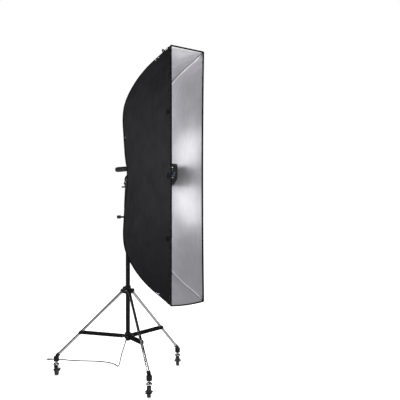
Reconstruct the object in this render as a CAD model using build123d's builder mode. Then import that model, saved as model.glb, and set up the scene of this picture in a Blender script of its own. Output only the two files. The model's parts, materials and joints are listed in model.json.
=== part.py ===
from build123d import *
import math
import os

# A tall strip softbox carried by a tilting bracket on a three-legged rolling stand.
# Millimetres. +Z is up, the column stands on the origin's axis, and the box faces -Y.

os.makedirs("parts", exist_ok=True)

# Fits
RUN = 0.05  # radial clearance of a turning or sliding fit
SEAT = 0.03  # radial clearance of a fixed pin, tube or plug in its hole
GAP = 0.3  # free gap between moving faces

# Column
LOWER_R = 16.0
LOWER_WALL = 2.0
LOWER_BOTTOM = 290.0
LOWER_TOP = 1200.0
UPPER_R = 13.5
UPPER_WALL = 2.0
UPPER_BOTTOM = 600.0
UPPER_TOP = 1390.0
SPIGOT_R = 8.0
SPIGOT_TOP = 1432.0

# Legs, in each leg's own radial plane: distance from the column's axis, height
LEG_ANGLES = [3.3, 123.3, 243.3]
LEG_TILT = 45.8  # from the vertical, opened
LEG_R = 10.0
LEG_WALL = 1.5
LEG_PIVOT = (46.0, 642.8)
LEG_OVERHANG = 8.0  # tube above the pivot
LEG_END_REACH = 550.0
PIN_R = 3.0
PIN_HEAD_R = 5.0
PIN_HEAD = 1.6
BRACE_PIVOT = (38.0, 317.0)
BRACE_PIN_DOWN_LEG = 443.4  # from the leg's pivot to the brace's pin
BRACE_DEPTH = 24.0
BRACE_SHEET = 1.5
BRACE_INSIDE = 13.0  # half the gap between the flanges

# Casters
CASTER_REACH = 557.0
WHEEL_R = 40.0
CORE_R = 27.0
TYRE_HALF = 12.0
CORE_HALF = 10.5
AXLE_R = 4.0
TRAIL = 18.0
TRAIL_ANGLES = [43.0, 43.0, 223.0]
STEM_R = 5.0
FORK_TOP = 99.5

# Bracket: tilt axis along X
TILT_Y = -18.0
TILT_Z = 1474.0
BOOM_Z = 1489.0
BOOM_R = 12.0
TONGUE_HALF = 8.0
CHEEK = 10.0
KNOB_ANGLE = 133.0
HANDLE_DROOP = 1.5

# Softbox
BOX_WIDTH = 330.0
BOX_HEIGHT = 1750.0
FRONT_Y = -620.0
FABRIC = 2.5
BINDING_DEPTH = 8.5
BINDING_WIDTH = 9.0
HUB_R = 75.0
HUB_Y = -105.0
ROD_R = 3.0
STATIONS = 12

# Lead
LEAD_R = 4.0


def save(piece, name):
    """Label a finished piece and write its STEP file."""
    piece.part.label = name
    export_step(piece.part, f"parts/{name}.step")


def point_at(angle, reach, height):
    """Point at a distance from the column's axis, in the direction of an angle."""
    turn = math.radians(angle)
    return Vector(reach * math.cos(turn), reach * math.sin(turn), height)


def radial_plane(angle):
    """Vertical plane through the column's axis: x points outward and y points up."""
    turn = math.radians(angle)
    return Plane(
        origin=(0, 0, 0),
        x_dir=(math.cos(turn), math.sin(turn), 0),
        z_dir=(math.sin(turn), -math.cos(turn), 0),
    )


def outward_plane(angle, reach, height):
    """Plane that faces outward from the column."""
    turn = math.radians(angle)
    return Plane(
        origin=point_at(angle, reach, height),
        x_dir=(-math.sin(turn), math.cos(turn), 0),
        z_dir=(math.cos(turn), math.sin(turn), 0),
    )


def across_plane(angle, reach, height, start=0.0):
    """Plane whose normal crosses a radial plane, for pins and holes."""
    turn = math.radians(angle)
    across = Vector(math.sin(turn), -math.cos(turn), 0)
    return Plane(
        origin=point_at(angle, reach, height) + across * start,
        x_dir=(math.cos(turn), math.sin(turn), 0),
        z_dir=across,
    )


def front_plane(x, y, z):
    """Plane that faces the front of the box (-Y), with x to the right and y up."""
    return Plane(origin=(x, y, z), x_dir=(1, 0, 0), z_dir=(0, -1, 0))


def side_plane(x, y, z):
    """Plane that faces +X, with x along Y and y up."""
    return Plane(origin=(x, y, z), x_dir=(0, 1, 0), z_dir=(1, 0, 0))


def disc(plane, radius, length, inner=0.0, both=False):
    """Solid or hollow cylinder standing on a plane, added to the current part."""
    with BuildSketch(plane) as outline:
        Circle(radius)
        if inner:
            Circle(inner, mode=Mode.SUBTRACT)
    extrude(outline.sketch, amount=length, both=both)


def drill(plane, radius, length, both=False):
    """Round hole from a plane, cut from the current part."""
    with BuildSketch(plane) as outline:
        Circle(radius)
    extrude(outline.sketch, amount=length, both=both, mode=Mode.SUBTRACT)


def tube_on_route(route, radius):
    """Round tube along straight runs joined by tangent arcs."""
    corners = [Vector(*point) for point in route]
    runs = [end - start for start, end in zip(corners, corners[1:])]
    radii = []
    for before, after in zip(runs, runs[1:]):
        half_turn = math.radians(before.get_angle(after)) / 2
        radii.append(0.45 * min(before.length, after.length) / math.tan(half_turn))
    with BuildPart() as tube:
        with BuildLine() as path:
            FilletPolyline(*corners, radius=radii)
        centre_line = path.wire()
        with BuildSketch(Plane(origin=centre_line @ 0, z_dir=centre_line % 0)):
            Circle(radius)
        sweep(path=centre_line)
    return tube, centre_line.length, radii


# ---------------------------------------------------------------- column

with BuildPart() as column_lower_tube:
    disc(
        Plane.XY.offset(LOWER_BOTTOM),
        LOWER_R,
        LOWER_TOP - LOWER_BOTTOM,
        LOWER_R - LOWER_WALL,
    )
save(column_lower_tube, "column_lower_tube")

CAP_THICKNESS = 7.0
with BuildPart() as column_foot_cap:
    disc(Plane.XY.offset(LOWER_BOTTOM - CAP_THICKNESS), LOWER_R, CAP_THICKNESS - SEAT)
    fillet(column_foot_cap.edges().sort_by(Axis.Z)[:1], 2.5)
    disc(Plane.XY.offset(LOWER_BOTTOM - 1), LOWER_R - LOWER_WALL - SEAT, 22)
save(column_foot_cap, "column_foot_cap")

with BuildPart() as column_upper_tube:
    disc(
        Plane.XY.offset(UPPER_BOTTOM),
        UPPER_R,
        UPPER_TOP - UPPER_BOTTOM,
        UPPER_R - UPPER_WALL,
    )
save(column_upper_tube, "column_upper_tube")

with BuildPart() as spigot:
    disc(Plane.XY.offset(UPPER_TOP - 45), UPPER_R - UPPER_WALL - SEAT, 45)
    disc(Plane.XY.offset(UPPER_TOP + SEAT), UPPER_R, 5)
    disc(Plane.XY.offset(UPPER_TOP), SPIGOT_R, SPIGOT_TOP - UPPER_TOP)
    chamfer(spigot.edges().sort_by(Axis.Z)[-1:], 1.5)
save(spigot, "spigot")

# Collar that guides the upper tube and clamps it
COLLAR_BOTTOM = 1165.0
COLLAR_TOP = 1230.0
COLLAR_R = 24.0
KNOB_Z = 1199.0
KNOB_STUD_R = 4.0
KNOB_BOSS_R = 11.0
KNOB_BOSS_START = 10.0
KNOB_BOSS_END = 28.0
with BuildPart() as column_collar:
    disc(Plane.XY.offset(COLLAR_BOTTOM), COLLAR_R, COLLAR_TOP - COLLAR_BOTTOM)
    fillet(column_collar.edges().group_by(Axis.Z)[-1], 4)
    fillet(column_collar.edges().group_by(Axis.Z)[0], 1.5)
    disc(
        outward_plane(KNOB_ANGLE, KNOB_BOSS_START, KNOB_Z),
        KNOB_BOSS_R,
        KNOB_BOSS_END - KNOB_BOSS_START,
    )
    drill(Plane.XY.offset(COLLAR_BOTTOM), LOWER_R + SEAT, LOWER_TOP - COLLAR_BOTTOM + SEAT)
    drill(Plane.XY.offset(COLLAR_BOTTOM), UPPER_R + RUN, COLLAR_TOP - COLLAR_BOTTOM)
    drill(outward_plane(KNOB_ANGLE, UPPER_R + 2.5, KNOB_Z), KNOB_STUD_R + RUN, 20)
save(column_collar, "column_collar")


def clamp_knob(angle, height, neck_reach, head_reach, end_reach, stud_r, head_r, tip_reach):
    """Clamping knob with a fluted round head, its stud pointing at the column."""
    with BuildPart() as knob:
        disc(outward_plane(angle, tip_reach, height), stud_r, head_reach - tip_reach + 1)
        disc(outward_plane(angle, neck_reach, height), stud_r * 1.8, head_reach - neck_reach + 1)
        disc(outward_plane(angle, head_reach, height), head_r, end_reach - head_reach)
        ends = knob.edges().filter_by(GeomType.CIRCLE).filter_by(
            lambda edge: abs(edge.radius - head_r) < 0.01
        )
        fillet(ends, head_r * 0.35)
        with BuildSketch(outward_plane(angle, head_reach - 1, height)):
            with PolarLocations(head_r * 1.16, 6):
                Circle(head_r * 0.28)
        extrude(amount=end_reach - head_reach + 2, mode=Mode.SUBTRACT)
    return knob


column_knob = clamp_knob(
    angle=KNOB_ANGLE,
    height=KNOB_Z,
    neck_reach=KNOB_BOSS_END + 0.5,
    head_reach=52.0,
    end_reach=80.0,
    stud_r=KNOB_STUD_R,
    head_r=12.5,
    tip_reach=LOWER_R + SEAT + 0.5,
)
save(column_knob, "column_knob")

# Fixed collar at the column's foot, which the braces hinge on
LOWER_COLLAR_BOTTOM = 300.0
LOWER_COLLAR_TOP = 342.0
LOWER_COLLAR_R = 24.0
LUG_HALF = BRACE_INSIDE - 0.4
with BuildPart() as lower_collar:
    disc(
        Plane.XY.offset(LOWER_COLLAR_BOTTOM),
        LOWER_COLLAR_R,
        LOWER_COLLAR_TOP - LOWER_COLLAR_BOTTOM,
    )
    fillet(lower_collar.edges().group_by(Axis.Z)[-1], 3)
    for leg_angle in LEG_ANGLES:
        with BuildSketch(radial_plane(leg_angle)):
            with Locations(BRACE_PIVOT):
                Circle(9)
            with Locations((BRACE_PIVOT[0] - 12, BRACE_PIVOT[1])):
                Rectangle(24, 18)
        extrude(amount=LUG_HALF, both=True)
    for leg_angle in LEG_ANGLES:
        drill(across_plane(leg_angle, *BRACE_PIVOT), PIN_R + SEAT, 30, both=True)
    drill(
        Plane.XY.offset(LOWER_COLLAR_BOTTOM),
        LOWER_R + SEAT,
        LOWER_COLLAR_TOP - LOWER_COLLAR_BOTTOM,
    )
save(lower_collar, "lower_collar")


def pin_with_heads(angle, reach, height, half):
    """Headed pin across a radial plane; half is the distance to each head."""
    disc(across_plane(angle, reach, height), PIN_R, half + 0.5, both=True)
    disc(across_plane(angle, reach, height, half), PIN_HEAD_R, PIN_HEAD)
    disc(across_plane(angle, reach, height, -half - PIN_HEAD), PIN_HEAD_R, PIN_HEAD)


FLANGE_OUTSIDE = BRACE_INSIDE + BRACE_SHEET
with BuildPart() as lower_collar_pins:
    for leg_angle in LEG_ANGLES:
        pin_with_heads(leg_angle, *BRACE_PIVOT, FLANGE_OUTSIDE + GAP)
save(lower_collar_pins, "lower_collar_pins")

# Sliding collar that the legs hang from
LEG_COLLAR_BOTTOM = 631.0
LEG_COLLAR_TOP = 690.0
LEG_COLLAR_R = 22.0
LUG_PLATE_R = 26.0
LUG_PLATE_TOP = 667.0
EAR_INSIDE = LEG_R + 0.5
EAR = 4.5
LEG_KNOB_ANGLE = LEG_ANGLES[0] + 180.0
LEG_KNOB_Z = 679.0
LEG_KNOB_STUD_R = 3.0
with BuildPart() as leg_collar:
    disc(Plane.XY.offset(LEG_COLLAR_BOTTOM), LEG_COLLAR_R, LEG_COLLAR_TOP - LEG_COLLAR_BOTTOM)
    fillet(leg_collar.edges().group_by(Axis.Z)[-1], 2)
    disc(
        Plane.XY.offset(LEG_COLLAR_BOTTOM + 1),
        LUG_PLATE_R,
        LUG_PLATE_TOP - LEG_COLLAR_BOTTOM - 1,
    )
    for leg_angle in LEG_ANGLES:
        with BuildSketch(radial_plane(leg_angle)):
            with BuildLine():
                Polyline(
                    (15, LUG_PLATE_TOP),
                    (48, LUG_PLATE_TOP),
                    (54, LUG_PLATE_TOP - 11),
                    (54, LEG_COLLAR_BOTTOM + 8),
                    (47, LEG_COLLAR_BOTTOM + 3),
                    (15, LEG_COLLAR_BOTTOM + 3),
                    close=True,
                )
            make_face()
        extrude(amount=EAR_INSIDE + EAR, both=True)
    for leg_angle in LEG_ANGLES:
        with BuildSketch(radial_plane(leg_angle)):
            with Locations((60, 650)):
                Rectangle(60, 60)
        extrude(amount=EAR_INSIDE, both=True, mode=Mode.SUBTRACT)
        drill(across_plane(leg_angle, *LEG_PIVOT), PIN_R + SEAT, 30, both=True)
    drill(Plane.XY.offset(LEG_COLLAR_BOTTOM), LOWER_R + RUN, LEG_COLLAR_TOP - LEG_COLLAR_BOTTOM)
    drill(outward_plane(LEG_KNOB_ANGLE, LOWER_R - 2, LEG_KNOB_Z), LEG_KNOB_STUD_R + RUN, 20)
save(leg_collar, "leg_collar")

with BuildPart() as leg_collar_pins:
    for leg_angle in LEG_ANGLES:
        pin_with_heads(leg_angle, *LEG_PIVOT, EAR_INSIDE + EAR + SEAT)
save(leg_collar_pins, "leg_collar_pins")

leg_collar_knob = clamp_knob(
    angle=LEG_KNOB_ANGLE,
    height=LEG_KNOB_Z,
    neck_reach=LEG_COLLAR_R + 2.0,
    head_reach=29.0,
    end_reach=47.0,
    stud_r=LEG_KNOB_STUD_R,
    head_r=9.0,
    tip_reach=LOWER_R + RUN + 0.5,
)
save(leg_collar_knob, "leg_collar_knob")

# ---------------------------------------------------------------- legs, braces, casters

LEG_SIN = math.sin(math.radians(LEG_TILT))
LEG_COS = math.cos(math.radians(LEG_TILT))
LEG_LENGTH = (LEG_END_REACH - LEG_PIVOT[0]) / LEG_SIN
BRACE_PIN = (
    LEG_PIVOT[0] + BRACE_PIN_DOWN_LEG * LEG_SIN,
    LEG_PIVOT[1] - BRACE_PIN_DOWN_LEG * LEG_COS,
)
BRACE_LENGTH = math.dist(BRACE_PIVOT, BRACE_PIN)
BRACE_RISE = math.degrees(math.atan2(BRACE_PIN[1] - BRACE_PIVOT[1], BRACE_PIN[0] - BRACE_PIVOT[0]))


def down_leg_plane(angle, distance):
    """Plane square to a leg, at a distance down it from its pivot."""
    turn = math.radians(angle)
    down = Vector(LEG_SIN * math.cos(turn), LEG_SIN * math.sin(turn), -LEG_COS)
    return Plane(
        origin=point_at(angle, *LEG_PIVOT) + down * distance,
        x_dir=(-math.sin(turn), math.cos(turn), 0),
        z_dir=down,
    )


def make_leg_tube(angle):
    with BuildPart() as leg_tube:
        disc(down_leg_plane(angle, -LEG_OVERHANG), LEG_R, LEG_LENGTH + LEG_OVERHANG, LEG_R - LEG_WALL)
        drill(across_plane(angle, *LEG_PIVOT), PIN_R + RUN, 30, both=True)
    return leg_tube


FOOT_R = 20.0
FOOT_BOTTOM = 106.0
FOOT_TOP = 148.0
SLEEVE_R = 14.0
SLEEVE_LENGTH = 20.0
STEM_TOP = 138.0


def make_leg_foot(angle):
    """Casting on the end of a leg, with an upright bore for the caster's stem."""
    foot_axis = Plane(origin=point_at(angle, CASTER_REACH, FOOT_BOTTOM))
    with BuildPart() as leg_foot:
        disc(foot_axis, FOOT_R, FOOT_TOP - FOOT_BOTTOM)
        fillet(leg_foot.edges().group_by(Axis.Z)[-1], 8)
        fillet(leg_foot.edges().group_by(Axis.Z)[0], 9)
        disc(down_leg_plane(angle, LEG_LENGTH - SLEEVE_LENGTH), SLEEVE_R, SLEEVE_LENGTH + 6)
        drill(
            down_leg_plane(angle, LEG_LENGTH - SLEEVE_LENGTH - 1),
            LEG_R + SEAT,
            SLEEVE_LENGTH + 1 + SEAT,
        )
        drill(foot_axis, STEM_R + RUN, STEM_TOP + 1 - FOOT_BOTTOM)
    return leg_foot


def make_brace_bracket(angle):
    """Sleeve on a leg, with the stub pins that the brace's open end rides on."""
    with BuildPart() as brace_bracket:
        disc(
            down_leg_plane(angle, BRACE_PIN_DOWN_LEG - 14),
            LEG_R + 2.2,
            28,
            LEG_R + SEAT,
        )
        disc(across_plane(angle, *BRACE_PIN, LEG_R + 1), PIN_R, BRACE_INSIDE - GAP - LEG_R - 1)
        disc(
            across_plane(angle, *BRACE_PIN, -BRACE_INSIDE + GAP),
            PIN_R,
            BRACE_INSIDE - GAP - LEG_R - 1,
        )
    return brace_bracket


WEB_START = 16.0  # the web is cut back at both ends, for the collar and the leg
WEB_END = BRACE_LENGTH - 100.0


def make_brace(angle):
    """Channel open downward, with round ends, pivot holes inside and rivets outside."""
    turn = math.radians(angle)
    rise = math.radians(BRACE_RISE)
    along = Vector(math.cos(rise) * math.cos(turn), math.cos(rise) * math.sin(turn), math.sin(rise))
    side = Plane(
        origin=point_at(angle, *BRACE_PIVOT),
        x_dir=along,
        z_dir=(math.sin(turn), -math.cos(turn), 0),
    )
    with BuildPart() as brace:
        with BuildSketch(side):
            with Locations((BRACE_LENGTH / 2, 0)):
                SlotCenterToCenter(BRACE_LENGTH, BRACE_DEPTH)
        extrude(amount=FLANGE_OUTSIDE, both=True)
        with BuildSketch(side):
            with Locations((BRACE_LENGTH / 2, -BRACE_SHEET)):
                Rectangle(BRACE_LENGTH + 60, BRACE_DEPTH)
            with Locations((WEB_START - 50, 0)):
                Rectangle(100, BRACE_DEPTH + 4)
            with Locations((WEB_END + 100, 0)):
                Rectangle(200, BRACE_DEPTH + 4)
        extrude(amount=BRACE_INSIDE, both=True, mode=Mode.SUBTRACT)
        with BuildSketch(side):
            Circle(PIN_R + RUN)
        extrude(amount=30, both=True, mode=Mode.SUBTRACT)
        for start in (BRACE_INSIDE + 0.5, -FLANGE_OUTSIDE - PIN_HEAD):
            with BuildSketch(side.offset(start)):
                with Locations((BRACE_LENGTH, 0)):
                    Circle(PIN_HEAD_R)
            extrude(amount=BRACE_SHEET + PIN_HEAD - 0.5)
    return brace


def caster_side(angle, trail_angle):
    """Plane of a wheel: x trails away from the stem, y is up, z is the axle."""
    turn = math.radians(trail_angle)
    return Plane(
        origin=point_at(angle, CASTER_REACH, 0),
        x_dir=(math.cos(turn), math.sin(turn), 0),
        z_dir=(math.sin(turn), -math.cos(turn), 0),
    )


PLATE_INSIDE = TYRE_HALF + 1.0
PLATE = 2.5
DOME_R = 22.5
DOME_BOTTOM = 84.0


def make_caster_fork(angle, trail_angle):
    """Stem, domed top, two side plates and the fixed axle, as one riveted piece."""
    side = caster_side(angle, trail_angle)
    with BuildPart() as caster_fork:
        with BuildSketch(side):
            with BuildLine():
                Polyline((0, DOME_BOTTOM), (DOME_R, DOME_BOTTOM), (DOME_R, DOME_BOTTOM + 3))
                ThreePointArc((DOME_R, DOME_BOTTOM + 3), (17.5, 95), (7, FORK_TOP))
                Polyline((7, FORK_TOP), (0, FORK_TOP), (0, DOME_BOTTOM))
            make_face()
        revolve(axis=Axis((side.origin.X, side.origin.Y, 0), (0, 0, 1)))
        disc(Plane(origin=(side.origin.X, side.origin.Y, FORK_TOP - 1)), STEM_R, STEM_TOP + 1 - FORK_TOP)
        with BuildSketch(side):
            with BuildLine():
                Polyline(
                    (-16, DOME_BOTTOM + 2),
                    (18, DOME_BOTTOM + 2),
                    (TRAIL + 9, WHEEL_R + 8),
                    (TRAIL + 9, WHEEL_R - 7),
                    (TRAIL + 4, WHEEL_R - 11),
                    (TRAIL - 4, WHEEL_R - 11),
                    (TRAIL - 9, WHEEL_R - 6),
                    (-16, DOME_BOTTOM - 10),
                    close=True,
                )
            make_face()
        extrude(amount=PLATE_INSIDE + PLATE, both=True)
        with BuildSketch(side):
            with Locations((TRAIL, WHEEL_R)):
                Rectangle(2 * WHEEL_R + 20, 2 * (DOME_BOTTOM - WHEEL_R) - 1)
        extrude(amount=PLATE_INSIDE, both=True, mode=Mode.SUBTRACT)
        with BuildSketch(side):
            with Locations((TRAIL, WHEEL_R)):
                Circle(AXLE_R)
        extrude(amount=PLATE_INSIDE + PLATE + 7.5, both=True)
    return caster_fork


def make_caster_wheel(angle, trail_angle):
    side = caster_side(angle, trail_angle)
    with BuildPart() as caster_wheel:
        with BuildSketch(side):
            with Locations((TRAIL, WHEEL_R)):
                Circle(CORE_R)
        extrude(amount=CORE_HALF - 3, both=True)
        with BuildSketch(side):
            with Locations((TRAIL, WHEEL_R)):
                Circle(CORE_R)
                Circle(CORE_R - 4, mode=Mode.SUBTRACT)
                Circle(9)
        extrude(amount=CORE_HALF, both=True)
        with BuildSketch(side):
            with Locations((TRAIL, WHEEL_R)):
                Circle(AXLE_R + RUN)
        extrude(amount=40, both=True, mode=Mode.SUBTRACT)
    return caster_wheel


def make_caster_tyre(angle, trail_angle):
    side = caster_side(angle, trail_angle)
    with BuildPart() as caster_tyre:
        with BuildSketch(side):
            with Locations((TRAIL, WHEEL_R)):
                Circle(WHEEL_R)
        extrude(amount=TYRE_HALF, both=True)
        fillet(caster_tyre.edges().filter_by(GeomType.CIRCLE), 4)
        with BuildSketch(side):
            with Locations((TRAIL, WHEEL_R)):
                Circle(CORE_R + SEAT)
        extrude(amount=40, both=True, mode=Mode.SUBTRACT)
    return caster_tyre


PEDAL_INSIDE = PLATE_INSIDE + PLATE + GAP
PEDAL_SHEET = 5.5


def make_brake_pedal(angle, trail_angle):
    """Stirrup on the axle's two ends, with a foot plate behind the wheel."""
    side = caster_side(angle, trail_angle)
    plate_start = TRAIL + WHEEL_R + 4
    with BuildPart() as brake_pedal:
        with BuildSketch(side):
            with Locations((TRAIL, WHEEL_R)):
                Circle(9)
            with BuildLine():
                Polyline(
                    (TRAIL, WHEEL_R - 7),
                    (TRAIL, WHEEL_R + 7),
                    (plate_start + 14, WHEEL_R + 4),
                    (plate_start + 14, WHEEL_R - 3),
                    close=True,
                )
            make_face()
        extrude(amount=PEDAL_INSIDE + PEDAL_SHEET, both=True)
        with BuildSketch(side):
            with Locations((plate_start - 60, WHEEL_R)):
                Rectangle(120, 60)
        extrude(amount=PEDAL_INSIDE, both=True, mode=Mode.SUBTRACT)
        with BuildSketch(side):
            with Locations((TRAIL, WHEEL_R)):
                Circle(AXLE_R + RUN)
        extrude(amount=40, both=True, mode=Mode.SUBTRACT)
    return brake_pedal


for number, leg_angle in enumerate(LEG_ANGLES, start=1):
    trail_angle = TRAIL_ANGLES[number - 1]
    save(make_leg_tube(leg_angle), f"leg_tube_{number}")
    save(make_leg_foot(leg_angle), f"leg_foot_{number}")
    save(make_brace_bracket(leg_angle), f"brace_bracket_{number}")
    save(make_brace(leg_angle), f"brace_{number}")
    save(make_caster_fork(leg_angle, trail_angle), f"caster_fork_{number}")
    save(make_caster_wheel(leg_angle, trail_angle), f"caster_wheel_{number}")
    save(make_caster_tyre(leg_angle, trail_angle), f"caster_tyre_{number}")
    save(make_brake_pedal(leg_angle, trail_angle), f"brake_pedal_{number}")

# ---------------------------------------------------------------- bracket

YOKE_BOTTOM = UPPER_TOP + 7.0
YOKE_TOP = 1436.0
YOKE_R = 20.0
LEVER_Z = 1422.0
LEVER_STUD_R = 3.0
LEVER_REACH = 40.0
LEVER_R = 5.0
LEVER_LENGTH = 42.0
side_view = Plane.YZ
with BuildPart() as swivel_yoke:
    disc(Plane.XY.offset(YOKE_BOTTOM), YOKE_R, YOKE_TOP - YOKE_BOTTOM)
    fillet(swivel_yoke.edges().group_by(Axis.Z)[0], 2)
    with BuildSketch(side_view):
        with Locations((TILT_Y, TILT_Z)):
            Circle(30)
        with BuildLine():
            Polyline(
                (-19, YOKE_TOP - 6),
                (TILT_Y - 26, TILT_Z - 14),
                (TILT_Y + 20, TILT_Z + 18),
                (36, 1454),
                (36, 1440),
                (21, 1440),
                (19, YOKE_TOP - 6),
                close=True,
            )
        make_face()
    extrude(amount=TONGUE_HALF, both=True)
    drill(side_plane(0, TILT_Y, TILT_Z), 4 + RUN, 20, both=True)
    drill(Plane.XY.offset(YOKE_BOTTOM), SPIGOT_R + RUN, SPIGOT_TOP + 1 - YOKE_BOTTOM)
    drill(outward_plane(KNOB_ANGLE, SPIGOT_R, LEVER_Z), LEVER_STUD_R + RUN, 20)
save(swivel_yoke, "swivel_yoke")

with BuildPart() as spigot_lever:
    disc(outward_plane(KNOB_ANGLE, SPIGOT_R + RUN + 0.5, LEVER_Z), LEVER_STUD_R, 14)
    disc(
        outward_plane(KNOB_ANGLE, YOKE_R + 0.4, LEVER_Z),
        LEVER_R + 0.5,
        LEVER_REACH + LEVER_R + 1 - YOKE_R - 0.4,
    )
    lever_plane = across_plane(KNOB_ANGLE, LEVER_REACH, LEVER_Z, -LEVER_R)
    with BuildSketch(lever_plane):
        Circle(LEVER_R)
    extrude(amount=LEVER_LENGTH, taper=-2)
    lever_axis = Axis((0, 0, 0), lever_plane.z_dir)
    fillet(spigot_lever.edges().filter_by(GeomType.CIRCLE).sort_by(lever_axis)[-1:], 2)
save(spigot_lever, "spigot_lever")

CHEEK_START = TONGUE_HALF + GAP
CHEEK_END = CHEEK_START + CHEEK
BLOCK_FRONT = -82.0
BLOCK_BACK = -52.0
HANDLE_Y = 2.0
HANDLE_Z = 1557.0
handle_direction = Vector(
    0,
    math.cos(math.radians(HANDLE_DROOP)),
    -math.sin(math.radians(HANDLE_DROOP)),
)


def handle_plane(distance):
    """Plane square to the handle, at a distance along it from its boss."""
    return Plane(
        origin=Vector(0, HANDLE_Y, HANDLE_Z) + handle_direction * distance,
        x_dir=(1, 0, 0),
        z_dir=handle_direction,
    )


with BuildPart() as tilt_casting:
    with BuildSketch(side_view):
        with Locations((TILT_Y, TILT_Z)):
            Circle(36)
        with BuildLine():
            Polyline(
                (TILT_Y - 4, TILT_Z + 34),
                (BLOCK_BACK, 1514),
                (BLOCK_FRONT, 1514),
                (BLOCK_FRONT, 1464),
                (BLOCK_BACK, 1464),
                (TILT_Y - 20, TILT_Z - 26),
                close=True,
            )
        make_face()
        with BuildLine():
            Polyline(
                (TILT_Y - 30, TILT_Z + 18),
                (-26, HANDLE_Z + 11),
                (14, HANDLE_Z + 9),
                (14, HANDLE_Z - 9),
                (-8, HANDLE_Z - 18),
                (TILT_Y + 12, TILT_Z + 32),
                close=True,
            )
        make_face()
    extrude(amount=CHEEK_END, both=True)
    with BuildSketch(side_view):
        with Locations((TILT_Y, TILT_Z)):
            Circle(70)
        with BuildLine():
            Polyline(
                (BLOCK_BACK, 1400),
                (BLOCK_BACK, TILT_Z),
                (BLOCK_BACK, 1540),
                (-90, 1620),
                (-160, 1620),
                (-160, 1400),
                close=True,
            )
        make_face(mode=Mode.SUBTRACT)
    extrude(amount=CHEEK_START, both=True, mode=Mode.SUBTRACT)
    disc(handle_plane(-15), 14, 27)
    drill(side_plane(0, TILT_Y, TILT_Z), 4 + SEAT, 30, both=True)
    drill(front_plane(0, BLOCK_BACK + 2, BOOM_Z), BOOM_R + RUN, 60)
    drill(handle_plane(-13), 5 + RUN, 40)
save(tilt_casting, "tilt_casting")

with BuildPart() as tilt_bolt:
    disc(side_plane(0, TILT_Y, TILT_Z), 4, CHEEK_END + 6, both=True)
    for start in (CHEEK_END + SEAT, -CHEEK_END - 6.5):
        with BuildSketch(side_plane(start, TILT_Y, TILT_Z)):
            RegularPolygon(8.5, 6)
        extrude(amount=6.5 - SEAT)
save(tilt_bolt, "tilt_bolt")

GRIP_START = 15.5
GRIP_LENGTH = 114.0
GRIP_R = 18.5
with BuildPart() as handle_rod:
    disc(handle_plane(-12), 5, 90)
save(handle_rod, "handle_rod")

with BuildPart() as handle_grip:
    disc(handle_plane(GRIP_START), GRIP_R, GRIP_LENGTH)
    fillet(handle_grip.edges().sort_by(Axis.Y)[-1:], 11)
    fillet(handle_grip.edges().sort_by(Axis.Y)[:1], 3)
    drill(handle_plane(GRIP_START - 1), 5 + SEAT, 66)
save(handle_grip, "handle_grip")

# ---------------------------------------------------------------- boom and flash head

BOOM_END = -176.0
boom_back = BLOCK_BACK - 2.0
with BuildPart() as boom_tube:
    disc(front_plane(0, boom_back, BOOM_Z), BOOM_R, boom_back - BOOM_END, BOOM_R - 3)
    disc(front_plane(0, BLOCK_FRONT - GAP, BOOM_Z), 19, 5, BOOM_R - 3)
save(boom_tube, "boom_tube")

HEAD_FRONT = -440.0
HEAD_BACK = -214.0
HEAD_TOP = 1582.0
HEAD_HALF = 75.0
HEAD_ARC_Z = 1499.0
HEAD_WALL = 3.0
DOME_Z = 1499.0

with BuildPart() as head_cradle:
    disc(front_plane(0, -146, BOOM_Z), BOOM_R + 6, 26)
    with BuildSketch(side_view):
        with BuildLine():
            Polyline(
                (-148, BOOM_Z),
                (-148, 1432),
                (-170, 1404),
                (HEAD_FRONT + 12, 1404),
                (HEAD_FRONT + 6, 1412),
                (HEAD_FRONT + 6, 1422),
                (-206, 1422),
                (-170, 1436),
                (-170, BOOM_Z),
                close=True,
            )
        make_face()
    extrude(amount=8, both=True)
    drill(front_plane(0, -140, BOOM_Z), BOOM_R + SEAT, 60)
save(head_cradle, "head_cradle")


def head_outline(y, inset):
    """Flat top, round bottom, as wide as the head less the inset on each side."""
    half = HEAD_HALF - inset
    top = HEAD_TOP - inset
    with BuildSketch(front_plane(0, y, 0)) as outline:
        with BuildLine():
            Polyline((half, HEAD_ARC_Z), (half, top), (-half, top), (-half, HEAD_ARC_Z))
            ThreePointArc((-half, HEAD_ARC_Z), (0, HEAD_ARC_Z - half), (half, HEAD_ARC_Z))
        make_face()
    return outline.sketch


with BuildPart() as head_housing:
    extrude(head_outline(HEAD_BACK, 0), amount=HEAD_BACK - HEAD_FRONT)
    fillet(head_housing.edges().filter_by(Axis.Y).group_by(Axis.Z)[-1], 12)
    extrude(
        head_outline(HEAD_BACK - 4, HEAD_WALL),
        amount=HEAD_BACK - HEAD_FRONT,
        mode=Mode.SUBTRACT,
    )
    drill(front_plane(0, HEAD_BACK + 1, DOME_Z), 47, 10)
save(head_housing, "head_housing")

PANEL_THICKNESS = 5.0
DIAL_Z = 1518.0
DIAL_R = 22.0
DIAL_HEIGHT = 11.0
DIAL_STUD_R = 3.0
SWITCH_X = 34.0
SWITCH_Z = 1470.0
with BuildPart() as head_rear_panel:
    extrude(head_outline(HEAD_FRONT - SEAT, 1.0), amount=PANEL_THICKNESS)
    fillet(head_rear_panel.edges().filter_by(Axis.Y).group_by(Axis.Z)[-1], 11)
    fillet(head_rear_panel.faces().sort_by(Axis.Y)[0].edges(), 1.5)
    drill(front_plane(0, HEAD_FRONT, DIAL_Z), DIAL_STUD_R + RUN, 20)
    with BuildSketch(front_plane(SWITCH_X, HEAD_FRONT, SWITCH_Z)):
        Rectangle(14, 22)
    extrude(amount=20, mode=Mode.SUBTRACT)
save(head_rear_panel, "head_rear_panel")

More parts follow.
